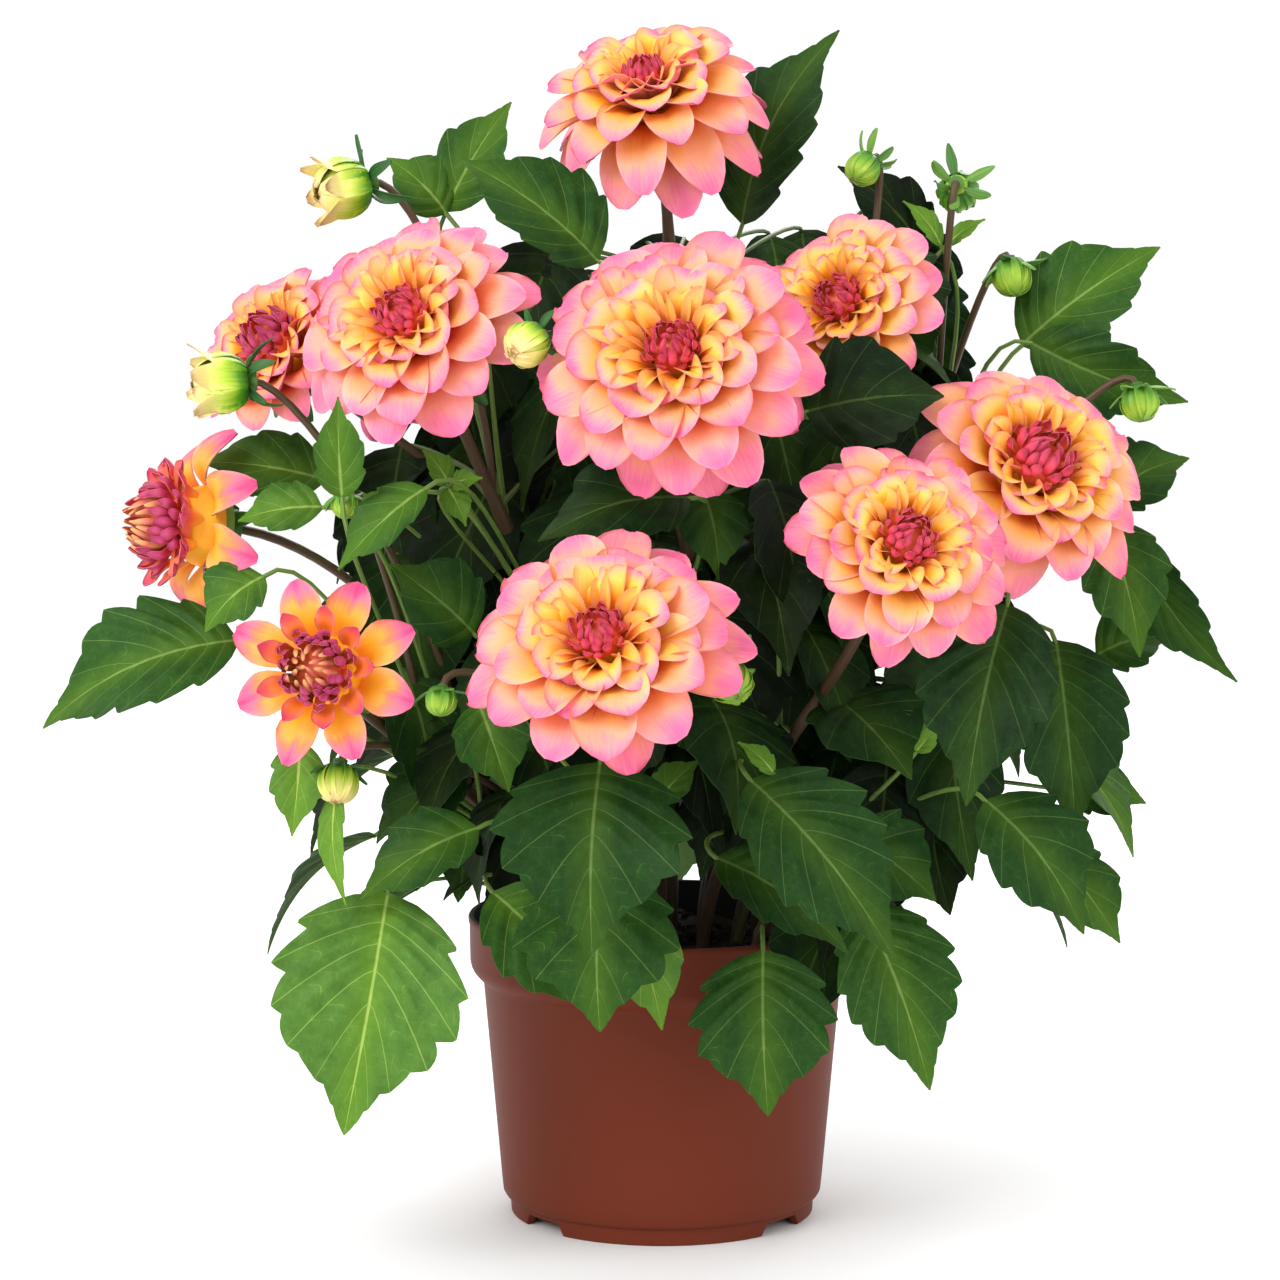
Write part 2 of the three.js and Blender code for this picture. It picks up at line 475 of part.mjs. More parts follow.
// A leaf: a stalk with a square section, and a toothed blade that is arched along its rib and folded along it.
// Both faces of the blade are split alike.
function leafShell({ start, base, tip, normal }, width, thickness, stalkRadius) {
  const along = tip.clone().sub(base);
  const length = along.length();
  const side = normal.clone().cross(along).normalize();
  const teeth = TEETH_WIDTHS.filter((limit) => width >= limit).length;
  const half = (share) => 0.5 * width * Math.sin(Math.PI * share ** BLADE.skew) ** BLADE.round;
  const at = (share, across) =>
    base.clone().addScaledVector(along, share).addScaledVector(side, across)
      .addScaledVector(normal, 4 * BLADE.arch * length * share * (1 - share) + BLADE.fold * Math.abs(across));
  const marks = [[0, stalkRadius], [BLADE.shoulder, half(BLADE.shoulder)]];
  const ribs = [];
  for (let k = 0; k < teeth; k++) {
    const share = BLADE.shoulder + (BLADE.toothed * (k + BLADE.lean)) / teeth;
    const notch = share + BLADE.notch;
    marks.push([share, half(share)], [notch, BLADE.cut * half(share)]);
    ribs.push(notch);
  }
  const points = [at(1, 0), ...ribs.map((share) => at(share, 0))];
  const edgeOf = (sign) => marks.map(([share, across]) => points.push(at(share, sign * across)) - 1);
  const [left, right] = [edgeOf(1), edgeOf(-1)];
  const halfFaces = (edge) => {
    const made = [[edge[0], edge[1], edge[2]]];
    for (let k = 0; k < teeth; k++) {
      const [from, to] = [k || edge[0], 1 + k];
      if (k) made.push([from, edge[1 + 2 * k], edge[2 + 2 * k]]);
      made.push([from, edge[2 + 2 * k], edge[3 + 2 * k]], [from, edge[3 + 2 * k], to]);
    }
    return [...made, [teeth, edge[1 + 2 * teeth], 0]];
  };
  const top = [...halfFaces(right), ...halfFaces(left).map(([a, b, c]) => [a, c, b]), [left[0], right[0], 1]];
  const count = points.length;
  points.push(...points.map((p) => p.clone().addScaledVector(normal, -thickness)));
  const faces = [...top, ...top.map(([a, b, c]) => [a + count, c + count, b + count])];
  const outline = [...right, 0, ...left.reverse()];
  outline.slice(1).forEach((b, i) => {
    const a = outline[i];
    faces.push([b, a, a + count], [b, a + count, b + count]);
  });
  const joint = [right[0], left.at(-1), left.at(-1) + count, right[0] + count];
  const run = base.clone().sub(start).normalize();
  const wide = side.clone().projectOnPlane(run).setLength(stalkRadius);
  const high = run.clone().cross(wide);
  const root = [[-1, 1], [1, 1], [1, -1], [-1, -1]].map(([a, b]) =>
    points.push(start.clone().addScaledVector(wide, a).addScaledVector(high, b)) - 1);
  root.forEach((a, i) => {
    const next = (i + 1) % root.length;
    faces.push([a, joint[i], joint[next]], [a, joint[next], root[next]]);
  });
  faces.push([root[0], root[1], root[2]], [root[0], root[2], root[3]]);
  return solid(shellOf(points, faces));
}

// Where a leaf lies once it is bent by some millimetres
function leafPlace(leaf, bend) {
  const share = leaf.from + bend * BEND_TO_SHARE;
  let [base, tip, hint] = [null, null, TO_VIEWER];
  if (leaf.tip) {
    base = seen(leaf.base, leaf.depths[0] - bend);
    tip = seen(leaf.tip, leaf.depths[1] - bend);
  } else {
    const out = facing(leaf.turn, 0);
    base = out.clone().multiplyScalar(leaf.out + bend).setZ(leaf.height + 0.5 * bend);
    tip = base.clone().addScaledVector(out, leaf.length * Math.cos(HANG));
    tip.addScaledVector(UP, -leaf.length * Math.sin(HANG));
    hint = out.clone().multiplyScalar(0.6).addScaledVector(UP, 0.8);
  }
  const along = tip.clone().sub(base).normalize();
  const normal = hint.clone().addScaledVector(along, -hint.dot(along)).normalize();
  normal.applyAxisAngle(along, degToRad((leaf.roll ?? 0) + bend * BEND_TO_ROLL));
  return { share, base, tip, normal };
}

// A leaf on its stem. A margin makes it fatter, to test its clearance.
function leafShape(leaf, bend, margin) {
  const { share, base, tip, normal } = leafPlace(leaf, bend);
  const lift = normal.clone().multiplyScalar(margin);
  const place = { start: curves[leaf.stem].getPoint(share), base: base.add(lift), tip: tip.add(lift), normal };
  return leafShell(place, leaf.width + 2 * margin, LEAF_THICKNESS + 2 * margin, PETIOLE_RADIUS + margin);
}

// Where the star of bracts behind a bloom or a bud has the flat middle of its top
function seatOf(head) {
  const share = head.form ? CORE_BOTTOM : -BUD_SEAT * BUD_STRETCH;
  return centreOf(head).addScaledVector(facing(head.turn, head.tilt), share * head.radius - GAP);
}

// The stem's curve, upright where it stands in its hole
function stemCurve(name) {
  const { foot: [x, y], bow, end, lean } = STEMS[name];
  const bloom = BLOOMS[name];
  const out = bloom ? facing(bloom.turn, bloom.tilt) : facing(...lean);
  const tip = bloom ? seatOf(bloom).addScaledVector(out, -1.5) : vec(...end);
  const root = vec(x, y, SOIL_TOP - STEM_DEPTH + GAP);
  const rise = tip.z - root.z;
  const first = root.clone().addScaledVector(UP, 0.42 * rise);
  const second = tip.clone().addScaledVector(out, -NECK).add(vec(bow[0], bow[1], -0.14 * rise));
  return new THREE.CubicBezierCurve3(root, first, second, tip);
}

// The curve of a stalk from a stem to a bloom or bud on a side branch
function branchCurve({ stem, from }, seat, out, reach) {
  const start = curves[stem].getPoint(from);
  const tip = seat.clone().addScaledVector(out, -1.5);
  const first = start.clone().addScaledVector(UP, 0.3 * start.distanceTo(tip));
  return new THREE.CubicBezierCurve3(start, first, tip.clone().addScaledVector(out, -reach), tip);
}

const curves = Object.fromEntries(Object.keys(STEMS).map((name) => [name, stemCurve(name)]));

// Each node's pieces, which are fused at the end
const pieces = new Map();
const pieceList = (name) => pieces.get(name) ?? pieces.set(name, []).get(name);
pieceList("pot").push(pot());
pieceList("soil").push(soil());

for (const [name, bloom] of Object.entries(BLOOMS)) {
  const [centre, out] = [centreOf(bloom), facing(bloom.turn, bloom.tilt)];
  const top = centre.clone().addScaledVector(out, CORE_TOP * bloom.radius + GAP);
  pieceList(`bloom_${name}`).push(standing(petals(bloom), centre, out));
  pieceList(`heart_${name}`).push(standing(heartHead(bloom), top, out));
  const star = bractStar(0.46 * bloom.radius, 0.16 * bloom.radius, 0.3 * bloom.radius);
  const branch = BRANCHES[name];
  const stem = pieceList(`stem_${branch ? branch.stem : name}`);
  stem.push(standing(star, seatOf(bloom), out));
  if (branch) stem.push(tube(branchCurve(branch, seatOf(bloom), out, NECK), BRANCH_RADIUS, 5, 6));
}

for (const name of Object.keys(STEMS)) {
  const steps = Math.max(FEWEST_STEPS, Math.round(curves[name].getLength() / STEM_STEP));
  pieceList(`stem_${name}`).push(tube(curves[name], STEM_RADIUS, 5, steps));
}

for (const [name, bud] of [...Object.entries(BUDS), ...Object.entries(GREEN_BUDS)]) {
  const [seat, out] = [seatOf(bud), facing(bud.turn, bud.tilt)];
  const stem = pieceList(`stem_${bud.stem}`);
  const star = bractStar(1.15 * bud.radius, 0.45 * bud.radius, 0.1 * bud.radius);
  stem.push(standing(star, seat, out), tube(branchCurve(bud, seat, out, BUD_NECK), STALK_RADIUS, 4, 5));
  const own = name in BUDS;
  const place = seat.clone().addScaledVector(out, own ? GAP : -2 * GAP);
  const head = standing(budHead(bud.radius, own ? 4 : 3), place, out);
  (own ? pieceList(`bud_${name}`) : stem).push(head);
}

// Leaves go on last, each bent as little as clears all other nodes. A hidden one that can't clear isn't grown.
const clears = (shape, others) => others.every((other) => shape.intersect(other).isEmpty());
for (const leaf of [...LEAVES, ...HIDDEN_LEAVES]) {
  const own = `stem_${leaf.stem}`;
  const others = [...pieces].filter(([name]) => name !== own).flatMap(([, list]) => list);
  const bend = BENDS.find((b) => clears(leafShape(leaf, b, CLEARANCE), others));
  if (bend !== undefined) pieceList(own).push(leafShape(leaf, bend, 0));
}

// A solid's surface as a geometry, with the shortest edges that joining leaves drawn together
function surfaceOf(shape) {
  const { numProp, vertProperties, triVerts } = shape.getMesh();
  const threes = (list, step) =>
    Array.from({ length: list.length / step }, (_, i) => [...list.subarray(i * step, i * step + 3)]);
  const points = threes(vertProperties, numProp).map((p) => vec(...p));
  const faces = threes(triVerts, 3);
  const kept = points.map((_, i) => i);
  const keptOf = (i) => (kept[i] === i ? i : keptOf(kept[i]));
  for (const [a, b, c] of faces) {
    for (const [p, q] of [[a, b], [b, c], [c, a]]) {
      const [first, last] = [keptOf(p), keptOf(q)].sort((m, n) => m - n);
      if (points[p].distanceTo(points[q]) < SHORTEST_EDGE) kept[last] = first;
    }
  }
  const drawn = faces.map((face) => face.map(keptOf)).filter(([a, b, c]) => a !== b && b !== c && c !== a);
  const geometry = shellOf(points, drawn);
  geometry.computeVertexNormals();
  return geometry;
}

// Colour and roughness by the first word of a node's name
const FINISHES = {
  pot: ["#7d4231", 0.45],
  soil: ["#2a211c", 0.95],
  stem: ["#3f6e3a", 0.6],
  bloom: ["#f3a06c", 0.65],
  heart: ["#b32c4c", 0.6],
  bud: ["#b9c045", 0.55],
};
const plant = new THREE.Group();
for (const [name, list] of pieces) {
  const [whole] = fused(list).decompose().sort((a, b) => b.volume() - a.volume());
  const geometry = surfaceOf(whole);
  const [color, roughness] = FINISHES[name.split("_")[0]];
  const mesh = new THREE.Mesh(geometry, new THREE.MeshStandardMaterial({ color, roughness, metalness: 0 }));
  mesh.name = name;
  plant.add(mesh);
}

export default plant;
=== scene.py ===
"""Potted dahlia: fine petals, leaves, stalks, buds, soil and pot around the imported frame."""

import math
import random

import bmesh
import bpy
import numpy as np
from mathutils import Matrix, Vector
from mathutils.kdtree import KDTree


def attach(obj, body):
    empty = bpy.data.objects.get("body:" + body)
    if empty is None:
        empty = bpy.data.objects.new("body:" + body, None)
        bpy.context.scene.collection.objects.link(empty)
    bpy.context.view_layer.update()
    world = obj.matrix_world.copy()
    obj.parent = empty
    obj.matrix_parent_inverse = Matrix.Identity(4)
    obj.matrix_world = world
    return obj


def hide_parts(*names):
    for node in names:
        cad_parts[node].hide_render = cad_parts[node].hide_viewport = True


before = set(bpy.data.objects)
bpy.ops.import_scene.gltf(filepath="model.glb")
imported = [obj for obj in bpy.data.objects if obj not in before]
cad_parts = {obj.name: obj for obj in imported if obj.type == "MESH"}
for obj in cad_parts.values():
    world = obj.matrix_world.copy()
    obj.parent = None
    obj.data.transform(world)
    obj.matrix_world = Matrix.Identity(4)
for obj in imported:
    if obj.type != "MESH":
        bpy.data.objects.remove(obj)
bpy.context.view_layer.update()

bl_info = {
    "name": "Potted dahlia",
    "version": (1, 0, 0),
    "blender": (4, 5, 0),
    "location": "3D View > Sidebar > Dahlia",
    "description": "Dresses the dahlia's frame with petals, toothed leaves, stalks, buds, soil and its pot",
    "category": "Add Mesh",
}

# Lengths are in millimetres until a mesh is made
METRES = 0.001
UP = Vector((0, 0, 1))
TURN = 2 * math.pi
GOLDEN = math.pi * (3 - math.sqrt(5))
# How far each kind of draw starts from the seed
DRAWS = {"stems": 1, "blooms": 2, "buds": 3, "inner_leaves": 21}

# The pot and its soil
RIM_RADIUS, POT_HEIGHT, LIP_HEIGHT, LIP_WIDTH = 85, 132, 2.6, 2.6
BAND_BOTTOM, BAND_EDGE, BAND_TAPER = 104.5, 111.5, 0.8
BODY_TOP_RADIUS, BODY_FOOT_RADIUS = 78.4, 70.5
FOOT_RADIUS, FOOT_HEIGHT, FOOT_WIDTH, WALL = 67, 7.5, 4, 1.8
FLOOR_UNDER, FLOOR_TOP, BOSS_RADIUS = 5.5, 7.5, 9
NOTCH_ANGLES, NOTCH_WIDTH, NOTCH_HEIGHT = (52, 128, 232, 308), 24, 5.2
DRAIN_RADIUS, DRAIN_CIRCLE = 5, 48
SOIL_TOP, STEM_DEPTH, GAP = 119, 10, 0.3

# The plant's thicknesses
STEM_RADIUS, BRANCH_RADIUS, STALK_RADIUS = 2.9, 2.0, 1.6
NECK, BUD_NECK = 56, 22
CORE_TOP, CORE_BOTTOM = 0.19, -0.32
BUD_STRETCH, BUD_SEAT = 1.12, 0.78

# The photograph's view: the camera's place, its pitch and its focal length in picture points
EYE = Vector((-9.7, -1700, 447))
PITCH = math.radians(6.53)
FOCAL, MIDDLE, SENSOR = 3930, 640, 36
TO_VIEWER = Vector((0, -0.76, 0.65))

# Main stems: foot, bow, and the end and lean of those with no bloom
STEMS = {
    "top": ((4, 6), (0, 18)),
    "left": ((-17, 2), (-6, 10)),
    "centre": ((-2, -10), (0, 6)),
    "rear_right": ((19, 8), (14, 14)),
    "right": ((32, -6), (16, 6)),
    "mid_right": ((17, -21), (10, 0)),
    "low": ((-4, -34), (-6, 0)),
    "low_left": ((-30, -20), (-16, 0)),
    "back_left": ((-20, 24), (-10, 6)),
    "back_right": ((18, 30), (8, 8)),
    "back": ((0, 46), (0, 6)),
    "leafy_left": ((-44, -2), (0, 0), (-92, -44, 176), (-62, 20)),
    "leafy_right": ((40, -32), (0, 0), (98, -58, 190), (62, 30)),
    "leafy_side": ((42, 22), (0, 0), (132, 34, 300), (84, 40)),
}

# Blooms: picture point and depth of the centre (or the place itself), radius, turn, tilt, form, heart's share
BLOOMS = {
    "top": ((651, 100), -30, 49.5, -22, 56, "dome", 0.22),
    "left": ((415, 330), -118, 52, -28, 32, "full", 0.24),
    "centre": ((678, 364), -150, 57, -12, 31, "ball", 0.22),
    "rear_right": ((848, 308), -70, 42, -28, 24, "full", 0.27),
    "right": ((1028, 476), -100, 54, 24, 36, "full", 0.3),
    "mid_right": ((898, 552), -160, 47, 20, 30, "full", 0.27),
    "low": ((606, 652), -182, 55, -16, 38, "full", 0.23),
    "low_left": ((325, 670), -135, 39.5, -14, 10, "young", 0.42),
    "far_left": ((192, 525), -60, 40, -62, 6, "young", 0.5),
    "rear_left": ((284, 352), -50, 42, -42, 34, "open", 0.34),
    "back_left": ((-112, 112, 372), None, 47, -146, 34, "open", 0.27),
    "back_right": ((104, 138, 318), None, 50, 146, 28, "open", 0.25),
    "back": ((-18, 168, 262), None, 46, 184, 24, "open", 0.28),
}

# Petal tiers from the heart outwards: the tip's distance and height, the root's height and the arch
TIERS = {
    "dome": ((0.48, 0.36, 0.06, 0.06), (0.76, 0.24, -0.01, 0.12), (0.97, -0.02, -0.08, 0.17),
             (1.0, -0.42, -0.15, 0.2), (0.84, -0.78, -0.22, 0.2)),
    "ball": ((0.5, 0.36, 0.06, 0.06), (0.76, 0.28, -0.01, 0.12), (0.95, 0.12, -0.08, 0.16),
             (1.0, -0.2, -0.15, 0.18), (0.8, -0.48, -0.22, 0.16)),
    "full": ((0.52, 0.33, 0.05, 0.06), (0.78, 0.22, -0.03, 0.11), (0.95, 0.04, -0.1, 0.14),
             (1.0, -0.24, -0.18, 0.16)),
    "open": ((0.62, 0.32, 0.04, 0.06), (0.9, 0.14, -0.06, 0.12), (1.0, -0.16, -0.16, 0.15)),
    "young": ((0.72, 0.26, 0.02, 0.04), (1.0, -0.02, -0.12, 0.1)),
}
BRANCHES = {"rear_left": ("left", 0.5), "far_left": ("low_left", 0.45)}

# Buds: stem, where it leaves it, picture point, depth, radius, turn, tilt
BUDS = {
    "upper_left": ("left", 0.72, (344, 188), -70, 11, -70, -12),
    "left": ("low_left", 0.5, (222, 383), -112, 11, -78, -4),
    "heart": ("centre", 0.62, (527, 344), -150, 8, -40, -20),
    "low_left": ("low_left", 0.3, (338, 782), -118, 7.5, -10, -60),
}
GREEN_BUDS = (
    ("rear_right", 0.6, (862, 170), -16, 6.5, -50, -40),
    ("leafy_side", 0.9, (958, 192), 4, 8, 170, -24),
    ("leafy_side", 0.8, (1012, 278), -12, 7.5, 20, -66),
    ("right", 0.72, (1140, 404), -62, 7, 30, -70),
    ("low", 0.66, (732, 684), -150, 7.5, 20, -30),
    ("low", 0.5, (441, 702), -140, 5.5, -20, -70),
    ("low_left", 0.62, (345, 506), -108, 5, 0, -80),
)

# Leaves in the photograph: stem, share, picture points of base and tip, their depths, width, roll, lightness.
# The lightness is partly the leaf's own tone and partly painted shade: it is darker for leaves that lie in
# the shade of blooms and other leaves.
LEAVES = (
    ("low", 0.42, (600, 762), (592, 955), (-160, -182), 72, 0, 0.33),
    ("low", 0.3, (602, 872), (600, 1032), (-136, -146), 62, 0, 0.45),
    ("low", 0.2, (618, 905), (662, 1030), (-112, -116), 30, 0, 0.85),
    ("leafy_left", 0.3, (492, 892), (590, 1016), (-112, -122), 44, 0, 0.55),
    ("leafy_right", 0.2, (763, 950), (768, 1116), (-102, -106), 56, 0, 0.44),
    ("mid_right", 0.42, (750, 780), (894, 958), (-150, -166), 54, 0, 0.32),
    ("mid_right", 0.3, (716, 858), (848, 953), (-116, -124), 32, 0, 0.3),
    ("leafy_right", 0.42, (862, 905), (930, 1090), (-104, -116), 48, 0, 0.5),
    ("leafy_right", 0.55, (845, 836), (936, 901), (-100, -102), 40, 0, 0.35),
    ("leafy_right", 0.95, (1008, 604), (966, 806), (-132, -150), 52, 0, 0.2),
    ("right", 0.45, (1056, 640), (1076, 834), (-84, -100), 48, 0, 0.28),
    ("leafy_right", 0.9, (985, 800), (1084, 934), (-112, -122), 44, 0, 0.35),
    ("leafy_right", 0.7, (1050, 850), (1120, 943), (-72, -78), 30, 0, 0.5),
    ("right", 0.35, (1062, 790), (1146, 803), (-50, -46), 28, 0, 0.5),
    ("right", 0.66, (1100, 520), (1140, 657), (-70, -84), 36, 0, 0.5),
    ("right", 0.6, (1122, 526), (1237, 682), (-40, -50), 26, 48, 0.35),
    ("leafy_side", 0.62, (1104, 502), (1189, 458), (-34, -30), 34, 0, 0.4),
    ("right", 0.5, (1096, 656), (1170, 637), (-44, -40), 30, 0, 0.45),
    ("leafy_side", 0.9, (1022, 345), (1160, 247), (-6, 2), 46, 0, 0.55),
    ("leafy_side", 0.84, (1030, 342), (1188, 402), (-34, -40), 34, 42, 0.4),
    ("rear_right", 0.7, (806, 412), (944, 396), (-98, -94), 52, 0, 0.1),
    ("centre", 0.5, (690, 498), (538, 541), (-122, -132), 40, 0, 0.15),
    ("low_left", 0.56, (342, 498), (338, 397), (-128, -130), 20, 0, 0.6),
    ("low_left", 0.5, (322, 507), (238, 521), (-96, -90), 24, 0, 0.7),
    ("left", 0.4, (325, 480), (200, 462), (-64, -58), 32, 0, 0.55),
    ("left", 0.46, (426, 488), (338, 570), (-118, -122), 24, 0, 0.55),
    ("left", 0.3, (474, 634), (390, 564), (-104, -108), 38, 0, 0.4),
    ("low_left", 0.38, (238, 640), (43, 728), (-66, -54), 56, 0, 0.5),
    ("low_left", 0.44, (264, 576), (205, 632), (-76, -80), 30, 0, 0.65),
    ("leafy_left", 0.96, (388, 892), (344, 1135), (-104, -122), 76, 0, 0.82),
    ("leafy_left", 0.7, (478, 828), (360, 900), (-112, -118), 32, 0, 0.45),
    ("leafy_left", 0.86, (458, 758), (388, 840), (-88, -96), 34, 0, 0.3),
    ("low", 0.36, (478, 702), (509, 792), (-142, -150), 30, 0, 0.45),
    ("rear_right", 0.62, (742, 224), (839, 30), (-24, -14), 46, 0, 0.3),
    ("top", 0.72, (598, 262), (460, 160), (-44, -40), 50, 0, 0.42),
    ("left", 0.7, (446, 211), (511, 102), (-22, -14), 30, 0, 0.55),
    ("left", 0.66, (446, 213), (387, 158), (-26, -22), 28, 0, 0.6),
    ("rear_right", 0.56, (926, 258), (838, 166), (6, 12), 30, 0, 0.05),
)

# Leaves at the sides and the back: stem, share, turn, height, distance out, length, width
HIDDEN_LEAVES = (
    ("back_left", 0.3, 205, 190, 118, 76, 45),
    ("back_left", 0.4, 238, 236, 132, 72, 45),
    ("back_left", 0.52, 262, 276, 128, 66, 42),
    ("back_left", 0.62, 212, 312, 120, 66, 42),
    ("back_right", 0.3, 148, 182, 122, 78, 52),
    ("back_right", 0.42, 116, 234, 134, 72, 45),
    ("back_right", 0.54, 160, 272, 118, 66, 42),
    ("back_right", 0.64, 128, 318, 122, 66, 42),
    ("back", 0.26, 178, 168, 124, 80, 56),
    ("back", 0.4, 222, 176, 132, 74, 45),
    ("back", 0.5, 190, 214, 140, 66, 44),
    ("top", 0.55, 180, 352, 92, 72, 45),
    ("top", 0.66, 150, 398, 66, 66, 42),
    ("top", 0.6, 232, 402, 70, 64, 40),
    ("leafy_side", 0.34, 92, 172, 128, 76, 45),
    ("leafy_side", 0.5, 70, 208, 146, 66, 42),
    ("leafy_left", 0.5, 268, 166, 126, 72, 45),
    ("leafy_side", 0.7, 122, 300, 104, 62, 40),
    ("rear_right", 0.52, 140, 352, 84, 62, 40),
    ("leafy_left", 0.42, 290, 150, 112, 66, 44),
    ("low_left", 0.26, 256, 200, 118, 66, 44),
    ("left", 0.5, 250, 300, 104, 60, 40),
    ("back", 0.34, 158, 158, 118, 66, 44),
    ("back_left", 0.46, 222, 262, 92, 64, 42),
    ("back_right", 0.48, 136, 224, 104, 66, 44),
    ("back_right", 0.72, 104, 348, 92, 60, 40),
    ("top", 0.5, 200, 366, 56, 64, 42),
)
# Young leaves and folded ones that are too slight for a solid, set down like those of the photograph
SMALL_LEAVES = (
    ("leafy_side", 0.86, (941, 246), (903, 201), (2, 4), 10, 0, 0.95),
    ("leafy_side", 0.86, (946, 246), (985, 219), (2, 4), 8, 0, 1.0),
    ("rear_right", 0.56, (884, 208), (933, 236), (14, 16), 20, 0, 0.4),
    ("low_left", 0.3, (300, 742), (292, 836), (-112, -118), 22, 0, 0.85),
    ("low_left", 0.3, (338, 786), (346, 905), (-116, -120), 12, 30, 0.9),
    ("centre", 0.4, (704, 492), (719, 580), (-112, -126), 27, 0, 0.32),
    ("mid_right", 0.5, (768, 520), (738, 607), (-104, -116), 22, 34, 0.22),
    ("left", 0.42, (448, 484), (423, 450), (-104, -108), 12, 0, 0.75),
    ("left", 0.42, (452, 484), (482, 478), (-106, -112), 9, 20, 0.9),
    ("left", 0.42, (448, 488), (466, 526), (-106, -112), 12, 0, 0.7),
    ("left", 0.44, (410, 498), (352, 540), (-116, -122), 18, 0, 0.8),
    ("mid_right", 0.36, (774, 774), (738, 742), (-150, -148), 9, 0, 0.7),
    ("leafy_right", 0.5, (916, 752), (938, 722), (-96, -98), 9, 20, 0.9),
    ("centre", 0.36, (660, 800), (700, 760), (-120, -122), 16, 0, 0.5),
)
HANG = math.radians(48)
BENDS = (0, 5, -5, 10, -10, 15, -15, 20, -20, 26, -26, 32, -32, 40, -40)
BEND_TO_SHARE, BEND_TO_ROLL = 0.006, 0.5
FOUND_WITHIN = 0.2

# How far the leaves reach to the left and right in the photograph, at heights in picture points, and how near
# the front the inner ones come there
FOLIAGE = (
    (190, 610, 890, 20), (260, 480, 960, 10), (340, 440, 1050, 0), (420, 390, 1080, -20),
    (500, 320, 1150, -40), (580, 340, 1120, -55), (660, 400, 1105, -65), (740, 360, 1095, -75),
    (820, 350, 1075, -75), (880, 440, 1060, -70), (930, 475, 990, -68), (980, 490, 880, -66),
)
INNER_REACH = 158
# Below this picture height, the leaves over the pot's rim hang before the inner ones, whose tips may come
# this far ahead of their front
RIM_LEAVES, TIP_AHEAD = 850, 26
# The share of the inner leaves behind the front, and the steps of draws that cover their range evenly
FRONT_SHARE, EVEN_STEPS = 0.55, (0.7548777, 0.5698403)
# Where between two side veins a tooth's tip stands
TOOTH_TIP = 0.84
# What single blooms have of their own: a wide heart, petals bent back, loose petals and buds with open mouths
HEART_SPREAD = {"far_left": 1.38}
REFLEX = {"far_left": 0.35}
LOOSE = {"low": 1.7, "mid_right": 1.6, "right": 1.3, "rear_right": 1.5, "rear_left": 1.5, "top": 1.2}
OPEN_BUDS = ("upper_left", "left")


def linear(code):
    """An sRGB hex colour as linear RGBA."""
    parts = [int(code[i:i + 2], 16) / 255 for i in (1, 3, 5)]
    return [c / 12.92 if c <= 0.04045 else ((c + 0.055) / 1.055) ** 2.4 for c in parts] + [1.0]


def smooth(low, high, value):
    """0 below low, 1 above high, and an eased rise between."""
    x = np.clip((value - low) / (high - low), 0, 1)
    return x * x * (3 - 2 * x)


def seen(point, y):
    """The place at a depth behind a picture point."""
    right, rise = (point[0] - MIDDLE) / FOCAL, (MIDDLE - point[1]) / FOCAL
    c, s = math.cos(PITCH), math.sin(PITCH)
    ray = Vector((right, c + rise * s, rise * c - s))
    return EYE + ray * ((y - EYE.y) / ray.y)


def pictured(place):
    """The picture point where a place shows."""
    d = place - EYE
    c, s = math.cos(PITCH), math.sin(PITCH)
    deep = d.y * c - d.z * s
    return MIDDLE + FOCAL * d.x / deep, MIDDLE - FOCAL * (d.y * s + d.z * c) / deep


def facing(turn, tilt):
    a, e = math.radians(turn), math.radians(tilt)
    return Vector((math.sin(a) * math.cos(e), -math.cos(a) * math.cos(e), math.sin(e)))


def upright(direction):
    """The rotation that turns +Z to a direction."""
    return UP.rotation_difference(direction).to_matrix()


def bezier(a, b, c, d, share):
    t, u = share, 1 - share
    return a * u ** 3 + b * (3 * u * u * t) + c * (3 * u * t * t) + d * t ** 3


def placed(name, data):
    """A new object of the scene."""
    obj = bpy.data.objects.new(name, data)
    bpy.context.scene.collection.objects.link(obj)
    return obj


def handed_in(obj, slot, *nodes):
    """Lets a piece ride on the root body and stand for its CAD nodes."""
    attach(obj, "root")
    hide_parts(*nodes)


def quads(belts, sides):
    """The faces between rings of points."""
    steps = [(j, (j + 1) % sides) for j in range(sides)]
    return [(i * sides + j, i * sides + k, (i + 1) * sides + k, (i + 1) * sides + j)
            for i in range(belts) for j, k in steps]


